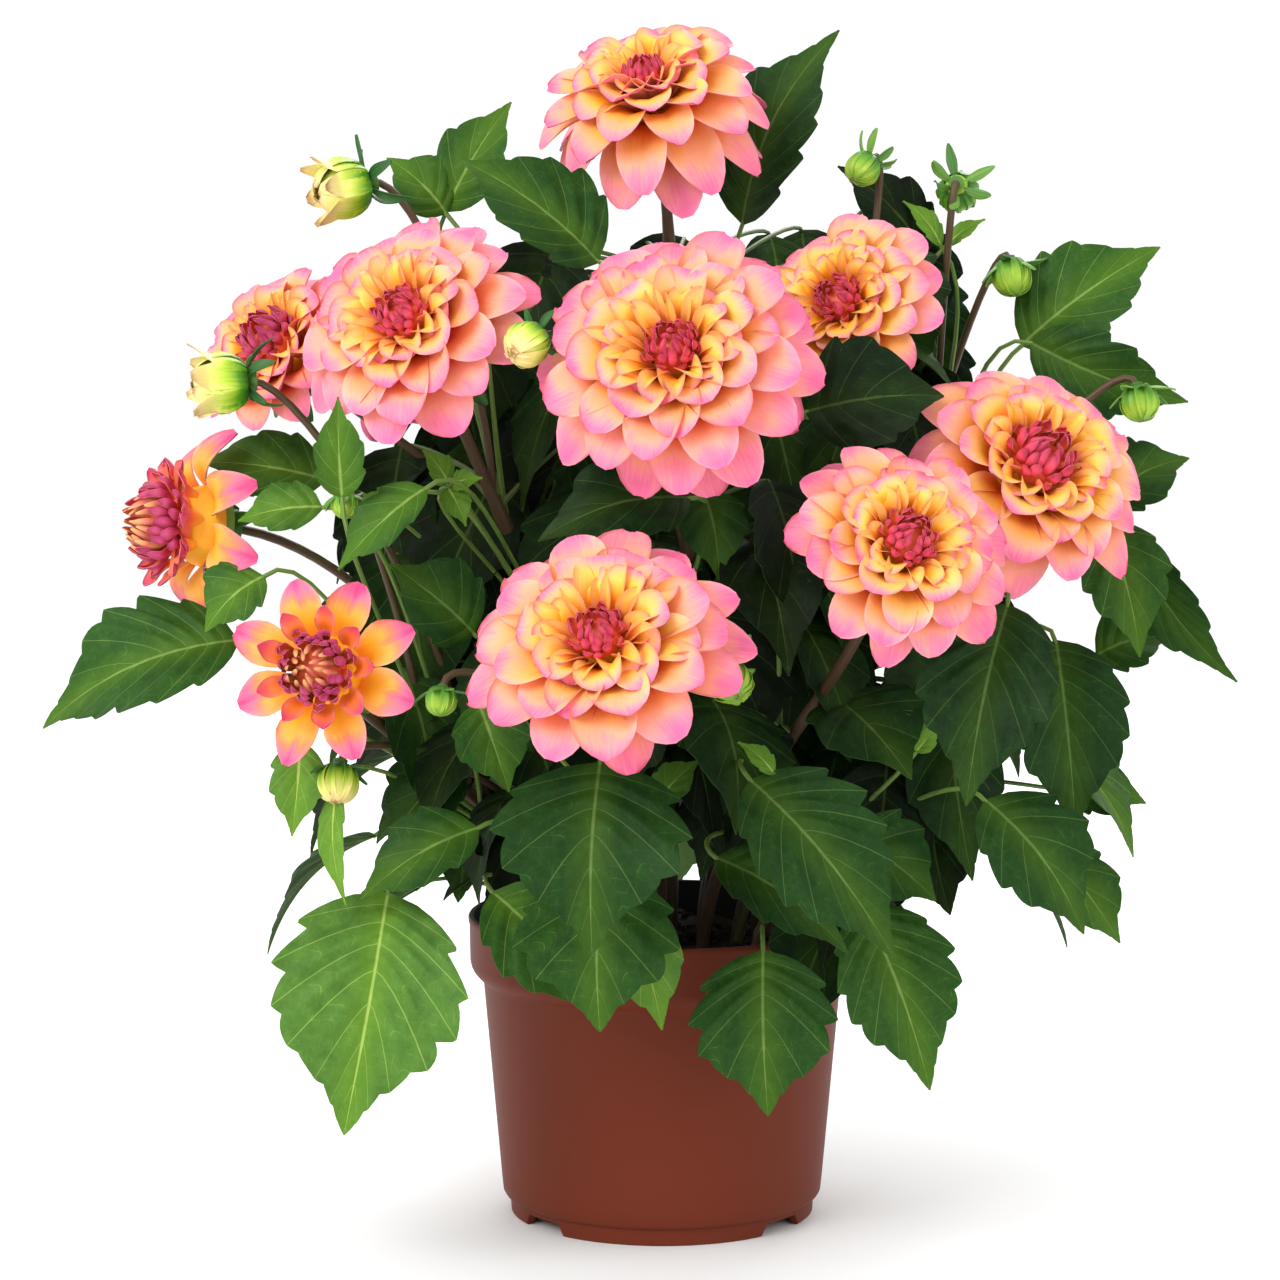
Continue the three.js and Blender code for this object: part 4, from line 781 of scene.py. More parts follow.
def bloom_petals(name, rng, scale, thick):
    """One bloom: petals on the CAD tiers' cones, wound in a spiral from the heart outwards."""
    place, radius, form, eye = head_place(name)
    made = Form()
    tiers = np.array(TIERS[form])
    first = np.array([[eye + 0.17, 0.22, 0.1, 0.1]])
    tiers[0, [1, 3]] += (-0.05, 0.08)
    keys = np.vstack((first, tiers))
    last = len(keys) - 1
    pointed = {"right": 1.6, "top": 1.8, "rear_left": 1.7, "low_left": 1.25, "far_left": 1.25}.get(name, 2.0)
    warmth = {"top": 0.15, "right": 0.2, "mid_right": 0.1, "rear_right": 0.3, "rear_left": -0.1,
              "centre": -0.15, "left": -0.12}.get(name, 0.0)
    if form == "young":
        spots = [(TURN * k / 8 + 0.2, last) for k in range(8)]
        spots += [(TURN * k / 9 + 0.5, rng.uniform(0.2, 0.65)) for k in range(9)]
    else:
        count = int({"dome": 58, "ball": 62, "full": 48, "open": 38}[form] * scale)
        spots = [(k * GOLDEN, last * (1 - k / (count - 1)) ** 1.05) for k in range(count)]
    core = 0.85 * eye * radius
    loose = LOOSE.get(name, 1.0)
    for angle, q in spots:
        reach, rise, root, arch = (np.interp(q, range(last + 1), keys[:, i]) for i in range(4))
        p = q / last
        reach = reach * (1 + loose * rng.uniform(-0.05, 0.05))
        rise += loose * rng.uniform(-0.03, 0.03)
        curl = 0.05 * (1 - p) + loose * rng.uniform(-0.03, 0.04)
        half = radius * np.interp(p, (0, 0.3, 0.7, 1), (0.14, 0.19, 0.225, 0.235)) * rng.uniform(0.92, 1.08)
        finish = 0
        if form == "young":
            half = radius * (0.235 if p == 1 else 0.12) * rng.uniform(0.9, 1.1)
            finish = 2 if p == 1 else 3
            curl = rng.uniform(0.0, 0.12) if p == 1 else 0.2
            rise -= REFLEX.get(name, 0.0) * p ** 4
            arch += REFLEX.get(name, 0.0) * 0.3 * p ** 4
            warmth = 0.75 if p == 1 else 0.3

        def line(s, reach=reach, rise=rise, root=root, arch=arch, curl=curl):
            r = core + (reach * radius - core) * s
            h = root + (rise - root) * s + arch * math.sin(math.pi * s) + curl * max(0, s - 0.55) ** 2 * 4
            return r, h * radius

        cup = np.interp(p, (0, 0.2, 0.45, 1), (1.0, 0.7, 0.45, 0.34)) * rng.uniform(0.8, 1.2)
        end = 2.6 if finish == 3 else pointed + 0.5 * (1 - p)
        petal(made, place, line, half, angle + rng.uniform(-0.06, 0.06) * loose, rng, cup=cup, tip=end,
              twist=loose * rng.uniform(-0.25, 0.25) * (0.2 + 0.8 * p),
              tone=1 - p + warmth + rng.uniform(-0.1, 0.1), rows=12, wave=0.035, pleat=0.03, thick=thick,
              finish=finish, widest=0.62 if form != "young" else 0.54)
    green = CORE_BOTTOM * radius + 0.5
    under = (place[0] + place[1] @ Vector((0, 0, green)), place[1])
    ball(made, under, core, 0.8, 0.0, 0.9, finish=1, rows=6, sides=16)
    within = (place[0] + place[1] @ Vector((0, 0, green + 0.1 * radius)), place[1])
    ball(made, within, 1.04 * core, 0.45 * radius / core, 0.0, 1.1, finish=0, rows=8, sides=24)
    materials = skins()
    skin = [materials[k] for k in ("Petal", "Bract", "Young petal", "Floret")]
    made.made("bloom_" + name, skin, "petals", ["bloom_" + name])


def bloom_heart(name, rng):
    """The bloom's closed heart: florets folded over its middle, wound in a spiral."""
    place, radius, form, eye = head_place(name)
    made = Form()
    r = eye * radius
    top = CORE_TOP * radius + GAP
    seat = (place[0] + place[1] @ Vector((0, 0, top - 0.1 * r)), place[1])
    ball(made, seat, 0.7 * r, 0.85, 0.0, 0.3, rows=6, sides=16)
    young = form == "young"
    count = 66 if young else 36
    wide = HEART_SPREAD.get(name, 1.0)
    for k in range(count):
        p = 1 - k / (count - 1)
        tip_away = r * (0.12 + 0.95 * p ** 0.62) * (1 + (wide - 1) * p) * rng.uniform(0.9, 1.1)
        high = top + r * (1.0 - 0.62 * p ** 1.9 * wide) * rng.uniform(0.92, 1.08)
        foot_away, foot_high = r * (0.2 + 0.45 * p), top + 0.02 * r
        bow = (0.24 - 0.1 * p) * r
        lean = rng.uniform(0.04, 0.16) * r

        def line(s, high=high, tip_away=tip_away, foot_away=foot_away, foot_high=foot_high, bow=bow,
                 lean=lean):
            away = foot_away + (tip_away - foot_away) * s + bow * math.sin(math.pi * s) - lean * s ** 3
            return away, foot_high + (high - foot_high) * s

        half = r * ((0.1 + 0.045 * p) if young else (0.12 + 0.06 * p))
        eye_floret = young and p < 0.3
        petal(made, place, line, half * (0.7 if eye_floret else 1), k * GOLDEN + rng.uniform(-0.2, 0.2), rng,
              cup=1.1, tip=2.2, wave=0.03, twist=rng.uniform(-0.4, 0.4), tone=0.5 + rng.uniform(-0.4, 0.4),
              rows=9, columns=8, thick=0.35, widest=0.66, foot=0.6, pleat=0.06, finish=1 if eye_floret else 0)
    skin = [skins()[k] for k in ("Young floret" if young or form == "open" else "Floret", "Eye floret")]
    made.made("heart_" + name, skin[:2 if young else 1], "hearts", ["heart_" + name])


def bud_head(form, place, radius, rng, finish, tone, open_mouth=False):
    """Scales over a bud, from its seat to its crown. Where its mouth is open, the outer tips stand free."""
    ball(form, place, 0.9 * radius, BUD_STRETCH, -BUD_SEAT, tone, finish, rows=8, sides=14)
    low = -math.asin(BUD_SEAT)
    for k in range(12):
        outer = open_mouth and k < 6
        top = rng.uniform(0.25, 0.5) if outer else (1.15 if open_mouth else 1.2 + 0.03 * k)
        leave = 0.6 if outer else 0.85
        flare = rng.uniform(0.35, 0.75) if outer else -0.75
        reach = radius * ((0.75 if outer else 0.2) if open_mouth else 0.12) * rng.uniform(0.75, 1.2)

        def line(s, top=top, leave=leave, flare=flare, reach=reach, fat=radius * (1.03 - 0.005 * k)):
            e = low + (top - low) * min(1, s / leave)
            free = reach * max(0, s - leave) / (1 - leave)
            away, high = fat * math.cos(e) + flare * free, fat * BUD_STRETCH * (math.sin(e) + BUD_SEAT)
            return max(0.2, away), high + free * (1 if outer else 0.4)

        turn = TURN * k / 6 if outer else k * GOLDEN
        petal(form, place, line, radius * rng.uniform(0.56, 0.66), turn, rng, cup=0.02, tip=1.1, wave=0.03,
              tone=tone + rng.uniform(-0.15, 0.15), rows=13, columns=6, thick=0.3, finish=finish, widest=0.45,
              foot=0.6, pleat=0.05)


def bracts(form, place, start, back, rng, count, length, half, tone, finish):
    """Leafy bracts around a head's foot, swept back between two angles in radians."""
    for k in range(count):
        swing = rng.uniform(*back)
        long = length * rng.uniform(0.85, 1.15)
        bow = rng.uniform(-0.3, 0.3)

        def line(s, swing=swing, long=long, bow=bow):
            a = swing * (0.6 + 0.4 * s) + bow * s
            return start + long * s * math.cos(a), -long * s * math.sin(a)

        petal(form, place, line, half, TURN * k / count + rng.uniform(0.1, 0.5), rng, cup=0.4, tip=1.15,
              wave=0.05, tone=tone + rng.uniform(-0.15, 0.15), rows=10, columns=4, thick=0.45, finish=finish,
              widest=0.56, foot=0.26, pleat=0.05)


def grown_leaves():
    """Each stem's leaves as the CAD bends them: found by the tips among the node's points."""
    found = {name: [] for name in STEMS}
    trees = {}
    for name in STEMS:
        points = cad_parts["stem_" + name].data.vertices
        tree = KDTree(len(points))
        for i, point in enumerate(points):
            tree.insert(point.co / METRES, i)
        tree.balance()
        trees[name] = tree
    for leaf in LEAVES + HIDDEN_LEAVES:
        for bend in BENDS:
            place = leaf_place(leaf, bend)
            if trees[leaf[0]].find(place[2])[2] < FOUND_WITHIN:
                found[leaf[0]].append(place)
                break
    for leaf in SMALL_LEAVES:
        found[leaf[0]].append(leaf_place(leaf, 0))
    return found


def filling_leaves(rng, count):
    """Leaves that fill the plant's inside, half of them behind its front and half all around. They stay
    within the outer leaves and clear of the blooms' faces."""
    heads = []
    for name in BLOOMS:
        (centre, _), radius, *_ = head_place(name)
        heads.append((centre, radius, pictured(centre), radius * FOCAL / (centre.y - EYE.y)))
    foliage = np.array(FOLIAGE)

    def inside(spot):
        u, v = pictured(spot)
        left, right = (np.interp(v, foliage[:, 0], foliage[:, k]) for k in (1, 2))
        if not left < u < right or math.hypot(spot.x, spot.y) > INNER_REACH:
            return False
        if math.hypot(spot.x, spot.y) < RIM_RADIUS + 9 and spot.z < POT_HEIGHT + 6:
            return False
        for centre, radius, (a, b), spread in heads:
            hides = math.hypot(a - u, b - v) < spread + 30 and spot.y < centre.y + 10 and centre.y < 60
            if hides or (spot - centre).length < radius + 14:
                return False
        return True

    def pokes_out(tip):
        _, v = pictured(tip)
        return v > RIM_LEAVES and tip.y < np.interp(v, foliage[:, 0], foliage[:, 3]) - TIP_AHEAD

    made = []
    for k in range(count * 20):
        if len(made) == count:
            break
        length, width = rng.uniform(50, 82), rng.uniform(32, 54)
        a, b = ((0.5 + k * step) % 1 for step in EVEN_STEPS)
        if len(made) < FRONT_SHARE * count:
            v = foliage[0, 0] + 30 + (foliage[-1, 0] - foliage[0, 0] - 90) * b
            left, right, front = (np.interp(v, foliage[:, 0], foliage[:, i]) for i in (1, 2, 3))
            base = seen((left + (right - left) * a, v), front + 110 * rng.random() ** 1.5)
            tip = base + Vector((rng.uniform(-0.5, 0.5), -0.35, -1)).normalized() * length
            hint = TO_VIEWER + Vector((rng.uniform(-0.5, 0.5), 0, rng.uniform(-0.4, 0.3)))
        else:
            out = facing(360 * a, 0)
            height = 145 + 255 * b
            girth = 128 * math.sin(math.pi * min(1, (height - 40) / 460)) ** 0.8
            base = out * (girth * rng.uniform(0.3, 0.95))
            base.z = height
            hang = math.radians(rng.uniform(20, 75))
            tip = base + out * length * math.cos(hang) - UP * length * math.sin(hang)
            hint = out * 0.6 + UP * 0.8 + Vector((rng.uniform(-0.4, 0.4), rng.uniform(-0.4, 0.4), 0))
        if all(inside(base.lerp(tip, share)) for share in (0, 0.3, 0.6, 0.9)):
            along = (tip - base).normalized()
            normal = (hint - along * hint.dot(along)).normalized()
            # The inner leaves take the lowest lightness, which is painted shade for the plant's shadowed
            # inside.
            made.append((base, tip, normal, width, rng.uniform(0.0, 0.26)))
    return [leaf for leaf in made if not pokes_out(leaf[1])]


def nearest_stem(base):
    """The stem and share from which a stalk to a blade's base is shortest and rises."""
    best = None
    for name in STEMS:
        for i in range(2, 18):
            spot = bezier(*CURVES[name], i / 20)
            cost = (spot - base).length + 1.2 * max(0, spot.z - base.z + 12)
            if best is None or cost < best[0]:
                best = (cost, name, i / 20)
    return best[1:]


def leaf_stalk(form, start, base, tip, finish, tone, hook=0.2):
    """A leaf's stalk, from the stem to the blade's rib."""
    lean = (base - start).length
    first = start + (base - start) * 0.4 + UP * 0.07 * lean
    second = base - (tip - base).normalized() * hook * lean
    line = [bezier(start, first, second, base + (tip - base) * 0.02, i / 10) for i in range(11)]
    radii = [1.5 - 0.5 * min(1, 3 * i / 10) for i in range(11)]
    tube(form, line, radii, 6, tone, finish)


LEAF, STALK, BRACT, SCALE = range(4)


def stem_piece(name, leaves, fillers, rng):
    """A stem with its leaves, side stalks, bracts and small green buds."""
    form = Form()
    steps = 36
    line = [bezier(*CURVES[name], i / steps) for i in range(steps + 1)]
    shares = [place[0] for place in leaves]
    radii = []
    for i in range(steps + 1):
        s = i / steps
        knot = sum(math.exp(-((s - q) / 0.02) ** 2) for q in shares[:6])
        radii.append(STEM_RADIUS * (1.08 - 0.3 * s) + 0.7 * min(1, knot))
    tube(form, line, radii, 10, 0.25 + 0.2 * rng.random(), STALK)
    for share, base, tip, normal, width, shade in leaves:
        teeth = max(5, min(8, round((tip - base).length / 10.5)))
        leaf_blade(form, base, tip, normal, width, shade, rng, teeth, 10, LEAF)
        leaf_stalk(form, bezier(*CURVES[name], share), base, tip, STALK, 0.7)
    for share, base, tip, normal, width, shade in fillers:
        leaf_blade(form, base, tip, normal, width, shade, rng, 5, 6, LEAF)
        leaf_stalk(form, bezier(*CURVES[name], share), base, tip, STALK, 0.55, 0.06)
    heads = [bloom for bloom in BLOOMS if bloom == name or BRANCHES.get(bloom, ("",))[0] == name]
    for bloom in heads:
        (_, turn), radius, _, _ = head_place(bloom)
        seat, out = bloom_seat(bloom), turn @ UP
        place = (seat, turn)
        if bloom in BRANCHES:
            curve = branch_curve(name, BRANCHES[bloom][1], seat, out, NECK)
            tube(form, [bezier(*curve, i / 20) for i in range(21)], [BRANCH_RADIUS] * 21, 8, 0.35, STALK)
        knob = (seat - out * 0.16 * radius, turn)
        ball(form, knob, 0.2 * radius, 0.9, 0.0, 0.6, BRACT, 6, 14)
        bracts(form, place, 0.2 * radius, (0.5, 1.1), rng, 5, 0.4 * radius, 0.08 * radius, 0.5, BRACT)
        bracts(form, place, 0.12 * radius, (-0.15, 0), rng, 8, 0.4 * radius, 0.12 * radius, 0.85, BRACT)
    buds = [bud for bud in BUDS.values() if bud[0] == name] + [bud for bud in GREEN_BUDS if bud[0] == name]
    for bud in buds:
        seat, out = bud_seat(bud), facing(*bud[5:7])
        turn = upright(out)
        radius = bud[4]
        curve = branch_curve(name, bud[1], seat, out, BUD_NECK)
        tube(form, [bezier(*curve, i / 16) for i in range(17)], [STALK_RADIUS] * 17, 8, 0.34, STALK)
        ball(form, (seat - out * 0.36 * radius, turn), 0.4 * radius, 0.9, 0.0, 0.6, BRACT, 6, 12)
        long = max(10.0, (1.9 if bud in GREEN_BUDS else 1.45) * radius)
        swept = (-0.7, 0.1) if out.z < -0.85 else (0.1, 1.0)
        tone = 0.7 if bud in GREEN_BUDS else 0.4
        bracts(form, (seat, turn), 0.3 * radius, swept, rng, 6, long, 0.155 * long, tone, BRACT)
        if bud in GREEN_BUDS:
            bud_head(form, (seat - out * 2 * GAP, turn), radius, rng, SCALE, 0.5)
    materials = skins()
    node = "stem_" + name
    skin = [materials[k] for k in ("Leaf", "Stalk", "Bract", "Green scale")]
    form.made(node, skin, "foliage", [node])


def pot_profile():
    """The pot's section from the middle of its underside, up its outside, over the lip and down inside."""
    outside = [
        (0, 0.6), (BOSS_RADIUS, 0), (BOSS_RADIUS + 1, FLOOR_UNDER),
        (FOOT_RADIUS - FOOT_WIDTH - 1, FLOOR_UNDER),
        (FOOT_RADIUS - FOOT_WIDTH, 0.4), (FOOT_RADIUS - FOOT_WIDTH + 0.5, 0), (FOOT_RADIUS - 1.2, 0),
        (FOOT_RADIUS - 0.5, 0.5), (FOOT_RADIUS, FOOT_HEIGHT - 0.3), (FOOT_RADIUS + 0.6, FOOT_HEIGHT),
        (BODY_FOOT_RADIUS - 1.4, FOOT_HEIGHT + 0.9), (BODY_FOOT_RADIUS - 0.5, FOOT_HEIGHT + 2.4),
        (BODY_FOOT_RADIUS, FOOT_HEIGHT + 7), (BODY_TOP_RADIUS, BAND_BOTTOM - 1.6),
        (BODY_TOP_RADIUS + 0.4, BAND_BOTTOM - 0.7), (BODY_TOP_RADIUS + 1.3, BAND_BOTTOM),
        (BODY_TOP_RADIUS + 2.9, BAND_BOTTOM + 1.5), (BODY_TOP_RADIUS + 4.5, BAND_BOTTOM + 3.5),
        (RIM_RADIUS - BAND_TAPER - 0.5, BAND_EDGE - 1.8), (RIM_RADIUS - BAND_TAPER, BAND_EDGE + 0.6),
        (RIM_RADIUS - 0.5, POT_HEIGHT - LIP_HEIGHT - 0.6),
        (RIM_RADIUS - 0.1, POT_HEIGHT - LIP_HEIGHT + 0.1), (RIM_RADIUS, POT_HEIGHT - 0.9),
        (RIM_RADIUS - 0.5, POT_HEIGHT - 0.1),
    ]
    inside = [
        (RIM_RADIUS - 1, POT_HEIGHT), (RIM_RADIUS - LIP_WIDTH + 0.3, POT_HEIGHT - 0.2),
        (RIM_RADIUS - LIP_WIDTH, POT_HEIGHT - 1), (RIM_RADIUS - LIP_WIDTH - BAND_TAPER, BAND_EDGE),
        (BODY_TOP_RADIUS - WALL, BAND_BOTTOM - 1), (BODY_FOOT_RADIUS - 2 * WALL + 0.4, FLOOR_TOP + 1.4),
        (BODY_FOOT_RADIUS - 2 * WALL - 1, FLOOR_TOP), (0, FLOOR_TOP),
    ]
    return outside, inside


def pot_piece():
    """The pot, turned, with a foot ring that is cut into four feet and drain holes through its floor."""
    outside, inside = pot_profile()
    sides = 144
    mesh = bmesh.new()
    rings = []
    for r, z in outside + inside:
        if r == 0:
            rings.append([mesh.verts.new((0, 0, z * METRES))] * sides)
            continue
        ring = []
        for j in range(sides):
            a = math.degrees(TURN * j / sides)
            off = min(abs((a - n + 180) % 360 - 180) for n in NOTCH_ANGLES)
            notched = z < 1 and r > BOSS_RADIUS and off < math.degrees(NOTCH_WIDTH / 2 / FOOT_RADIUS)
            turn = math.radians(a)
            height = max(z, NOTCH_HEIGHT) if notched else z
            place = Vector((r * math.sin(turn), -r * math.cos(turn), height))
            ring.append(mesh.verts.new(place * METRES))
        rings.append(ring)
    for i, (low, high) in enumerate(zip(rings, rings[1:])):
        for j in range(sides):
            k = (j + 1) % sides
            corners = dict.fromkeys((low[j], low[k], high[k], high[j]))
            face = mesh.faces.new(list(corners))
            face.smooth = True
            face.material_index = 1 if i >= len(outside) - 1 else 0
    bmesh.ops.recalc_face_normals(mesh, faces=mesh.faces)
    data = bpy.data.meshes.new("pot")
    mesh.to_mesh(data)
    mesh.free()
    for name in ("Pot outside", "Pot inside"):
        data.materials.append(skins()[name])
    obj = placed("pot", data)
    drills = bmesh.new()
    for angle in NOTCH_ANGLES:
        a = math.radians(angle)
        hole = Vector((DRAIN_CIRCLE * math.sin(a), -DRAIN_CIRCLE * math.cos(a), 6))
        shift = Matrix.Translation(hole * METRES)
        bmesh.ops.create_cone(drills, cap_ends=True, segments=24, radius1=DRAIN_RADIUS * METRES,
                              radius2=DRAIN_RADIUS * METRES, depth=0.02, matrix=shift)
    tool_data = bpy.data.meshes.new("drills")
    drills.to_mesh(tool_data)
    drills.free()
    tool = placed("drills", tool_data)
    cut = obj.modifiers.new("Drains", "BOOLEAN")
    cut.object, cut.operation, cut.solver = tool, "DIFFERENCE", "EXACT"
    graph = bpy.context.evaluated_depsgraph_get()
    holed = bpy.data.meshes.new_from_object(obj.evaluated_get(graph))
    obj.modifiers.clear()
    obj.data = holed
    bpy.data.objects.remove(tool)
    holed.set_sharp_from_angle(angle=math.radians(38))
    handed_in(obj, "pot", "pot")


def soil_piece(rng):
    """Crumbly soil, gently uneven, with crumbs of bark lying on it."""
    form = Form()
    sides, rings = 72, 26
    level = SOIL_TOP - 0.4
    wall = RIM_RADIUS - LIP_WIDTH - BAND_TAPER - GAP
    points, faces = [], []
    grain = np.random.default_rng(7).normal(0, 1, (rings + 1, sides))
    for i in range(rings + 1):
        r = wall * i / rings
        for j in range(sides):
            a = TURN * j / sides
            x, y = r * math.cos(a), r * math.sin(a)
            z = level + 1.3 * math.sin(0.21 * x + 1) * math.cos(0.17 * y) + (0.55 * grain[i, j] if i else 0)
            points.append((x, y, z))
    narrow = BODY_TOP_RADIUS - WALL - 2 * GAP
    for z, r in ((BAND_EDGE + 1, wall), (BAND_BOTTOM - 1, narrow), (FLOOR_TOP + GAP, BODY_FOOT_RADIUS - 5)):
        points += [(r * math.cos(TURN * j / sides), r * math.sin(TURN * j / sides), z) for j in range(sides)]
    for i in range(rings + 3):
        for j in range(sides):
            k = (j + 1) % sides
            a, b = i * sides, (i + 1) * sides
            faces.append((a + j, b + j, b + k, a + k))
    hub = len(points)
    points += [(0, 0, level + 1), (0, 0, FLOOR_TOP + GAP)]
    last = (rings + 3) * sides
    for j in range(sides):
        k = (j + 1) % sides
        faces.append((hub + 1, last + k, last + j))
    faces = [f for f in faces if min(f) >= sides]
    faces += [(hub, sides + j, sides + (j + 1) % sides) for j in range(sides)]
    keep = points[sides:]
    faces = [tuple(i - sides for i in f) for f in faces]
    form.add(keep, faces, (0, 0), (0, 0), (0, 0))
    crumb = bmesh.new()
    bmesh.ops.create_icosphere(crumb, subdivisions=1, radius=1)
    shape = np.array([v.co for v in crumb.verts])
    shape_faces = [tuple(v.index for v in f.verts) for f in crumb.faces]
    crumb.free()
    for _ in range(260):
        r, a = 76 * math.sqrt(rng.random()), rng.uniform(0, TURN)
        size = rng.uniform(1.0, 3.0)
        lump = shape * [size * rng.uniform(*span) for span in ((0.7, 1.4), (0.6, 1.1), (0.4, 0.8))]
        lump = lump * (1 + 0.25 * np.array([[rng.uniform(-1, 1)] * 3 for _ in shape]))
        turn = np.array(Matrix.Rotation(rng.uniform(0, TURN), 3, "Z"))
        lump = lump @ turn.T + [r * math.cos(a), r * math.sin(a), level + 1.2]
        form.add(lump, shape_faces, (0, 0), (0, 0), (0, 0))
    form.made("soil", [skins()["Soil"]], "soil", ["soil"], 80)


def light(name, place, size, power):
    """A soft box that looks at the plant's middle."""
    data = bpy.data.lights.new(name, "AREA")
    data.shape, data.size, data.size_y, data.energy = "RECTANGLE", *size, power
    obj = placed(name, data)
    obj.location = place
    obj.rotation_euler = (Vector((0, 0, 0.28)) - Vector(place)).to_track_quat("-Z", "Y").to_euler()


def colour_setting(name, description, code):
    return bpy.props.FloatVectorProperty(
        name=name, description=description, default=linear(code)[:3], size=3, subtype="COLOR", min=0, max=1)


class DahliaSettings(bpy.types.PropertyGroup):
    """What a user would change."""

    petals: bpy.props.FloatProperty(
        name="Petals", description="How many petals each bloom has, against the real one", default=1.0,
        min=0.3, max=1.5, subtype="FACTOR")
    fillers: bpy.props.IntProperty(
        name="Inner leaves", description="Leaves that fill the plant's inside", default=210, min=0, max=400)
    seed: bpy.props.IntProperty(name="Seed", description="The start of every random draw", default=11, min=0)
    petal_root: colour_setting("Petal root", "Colour of the petals towards the heart", "#fdb01c")
    petal_middle: colour_setting("Petal middle", "Colour half along the petals", "#ffb284")
    petal_tip: colour_setting("Petal tip", "Colour of the petals' tips", "#ec6c9a")
    pot_colour: colour_setting("Pot", "Colour of the pot's plastic", "#6b2c18")
    petal_thickness: bpy.props.FloatProperty(
        name="Petal thickness", description="Thickness of a petal", default=0.00032, min=0.0001, max=0.002,
        unit="LENGTH", precision=5)
    key_power: bpy.props.FloatProperty(
        name="Key light", description="Power of the main soft box", default=32.0, min=0, unit="POWER")
    world: colour_setting("Surroundings", "Colour of the studio around", "#ffffff")


class DAHLIA_OT_pot(bpy.types.Operator):
    """Makes the plastic pot"""

    bl_idname = "dahlia.pot"
    bl_label = "Pot"

    def execute(self, context):
        pot_piece()
        return {"FINISHED"}


class DAHLIA_OT_soil(bpy.types.Operator):
    """Makes the potting soil and its crumbs"""

    bl_idname = "dahlia.soil"
    bl_label = "Soil"

    def execute(self, context):
        soil_piece(random.Random(context.scene.dahlia.seed))
        return {"FINISHED"}


class DAHLIA_OT_stems(bpy.types.Operator):
    """Makes the stems with their leaves, bracts and green buds"""

    bl_idname = "dahlia.stems"
    bl_label = "Stems and leaves"

    def execute(self, context):
        settings = context.scene.dahlia
        rng = random.Random(settings.seed + DRAWS["stems"])
        inner = random.Random(settings.seed + DRAWS["inner_leaves"])
        leaves = grown_leaves()
        fillers = {name: [] for name in STEMS}
        for base, *rest in filling_leaves(inner, settings.fillers):
            name, share = nearest_stem(base)
            fillers[name].append((share, base, *rest))
        for name in STEMS:
            stem_piece(name, leaves[name], fillers[name], rng)
        return {"FINISHED"}


class DAHLIA_OT_blooms(bpy.types.Operator):
    """Makes the blooms and their hearts"""

    bl_idname = "dahlia.blooms"
    bl_label = "Blooms"

    def execute(self, context):
        settings = context.scene.dahlia
        rng = random.Random(settings.seed + DRAWS["blooms"])
        for name in BLOOMS:
            bloom_petals(name, rng, settings.petals, settings.petal_thickness / METRES)
            bloom_heart(name, rng)
        return {"FINISHED"}


class DAHLIA_OT_buds(bpy.types.Operator):
    """Makes the fat buds"""

    bl_idname = "dahlia.buds"
    bl_label = "Buds"

    def execute(self, context):
        rng = random.Random(context.scene.dahlia.seed + DRAWS["buds"])
        for name, bud in BUDS.items():
            form = Form()
            out = facing(*bud[5:7])
            bud_head(form, (bud_seat(bud) + out * GAP, upright(out)), bud[4], rng, 0, 0.35, name in OPEN_BUDS)
            form.made("bud_" + name, [skins()["Bud scale"]], "buds", ["bud_" + name])
        return {"FINISHED"}


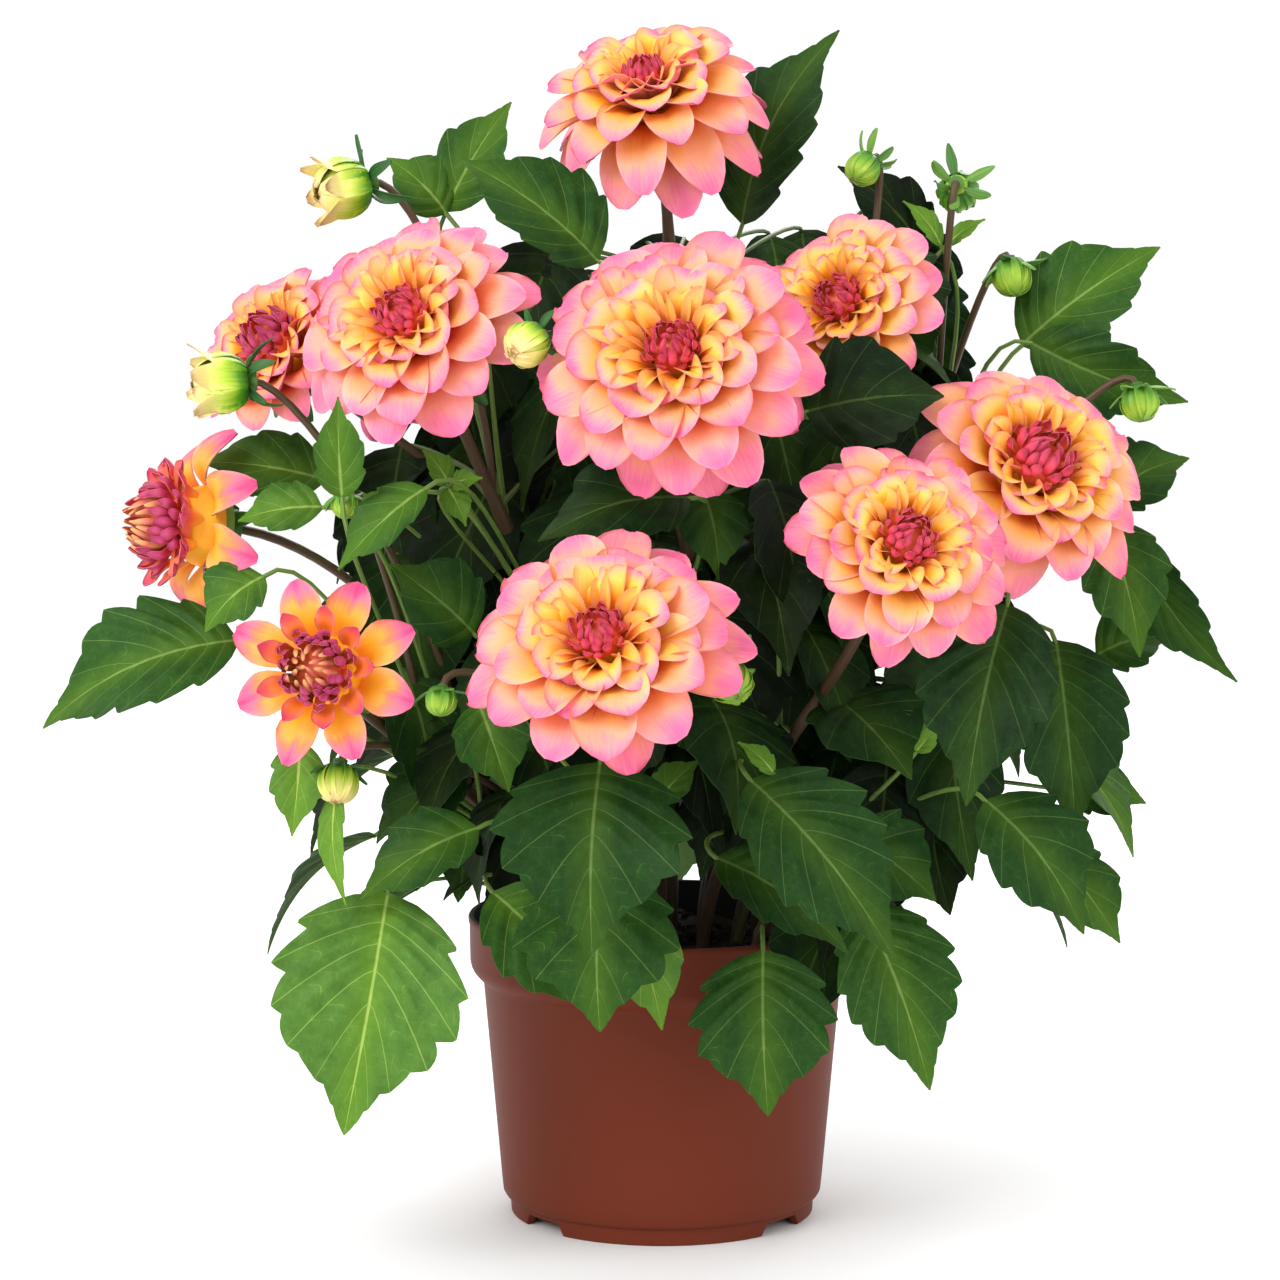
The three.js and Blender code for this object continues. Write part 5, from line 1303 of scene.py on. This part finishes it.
class DAHLIA_OT_stage(bpy.types.Operator):
    """Makes the floor, the studio light and the camera at the photograph's angle"""

    bl_idname = "dahlia.stage"
    bl_label = "Stage"

    def execute(self, context):
        scene, settings = context.scene, context.scene.dahlia
        _, paper = bare("Backdrop paper")
        paper.inputs["Base Color"].default_value = linear("#fafafa")
        paper.inputs["Roughness"].default_value = 0.9
        data = bpy.data.meshes.new("floor")
        data.from_pydata([(-9, -9, 0), (9, -9, 0), (9, 9, 0), (-9, 9, 0)], [], [(0, 1, 2, 3)])
        data.materials.append(bpy.data.materials["Backdrop paper"])
        placed("floor", data)
        world = bpy.data.worlds.new("Studio")
        world.use_nodes = True
        world.node_tree.nodes["Background"].inputs[0].default_value = (*settings.world, 1)
        world.node_tree.nodes["Background"].inputs[1].default_value = 1.04
        scene.world = world
        power = settings.key_power
        light("Key", (-1.2, -1.5, 1.5), (1.2, 1.2), power)
        light("Fill", (1.5, -1.3, 0.7), (1.2, 1.0), 0.12 * power)
        light("Back", (0.3, 1.5, 1.4), (1.4, 0.8), 0.5 * power)
        lens = bpy.data.cameras.new("Photograph")
        lens.sensor_width = SENSOR
        lens.lens = SENSOR * FOCAL / (2 * MIDDLE)
        lens.clip_end = 50
        camera = placed("Photograph", lens)
        camera.location = EYE * METRES
        camera.rotation_euler = (math.pi / 2 - PITCH, 0, 0)
        scene.camera = camera
        scene.view_settings.view_transform = "Standard"
        return {"FINISHED"}


class DAHLIA_PT_panel(bpy.types.Panel):
    """Lists the dahlia's pieces"""

    bl_idname = "DAHLIA_PT_panel"
    bl_label = "Potted dahlia"
    bl_space_type = "VIEW_3D"
    bl_region_type = "UI"
    bl_category = "Dahlia"

    def draw(self, context):
        for name in DahliaSettings.__annotations__:
            self.layout.prop(context.scene.dahlia, name)
        for maker in MAKERS:
            self.layout.operator(maker.bl_idname)


MAKERS = (DAHLIA_OT_stage, DAHLIA_OT_pot, DAHLIA_OT_soil, DAHLIA_OT_stems, DAHLIA_OT_blooms, DAHLIA_OT_buds)


def register():
    for kind in (DahliaSettings, *MAKERS, DAHLIA_PT_panel):
        bpy.utils.register_class(kind)
    bpy.types.Scene.dahlia = bpy.props.PointerProperty(type=DahliaSettings)


def unregister():
    del bpy.types.Scene.dahlia
    for kind in reversed((DahliaSettings, *MAKERS, DAHLIA_PT_panel)):
        bpy.utils.unregister_class(kind)


def main():
    register()
    for maker in MAKERS:
        group, name = maker.bl_idname.split(".")
        getattr(getattr(bpy.ops, group), name)()


if __name__ == "__main__":
    main()
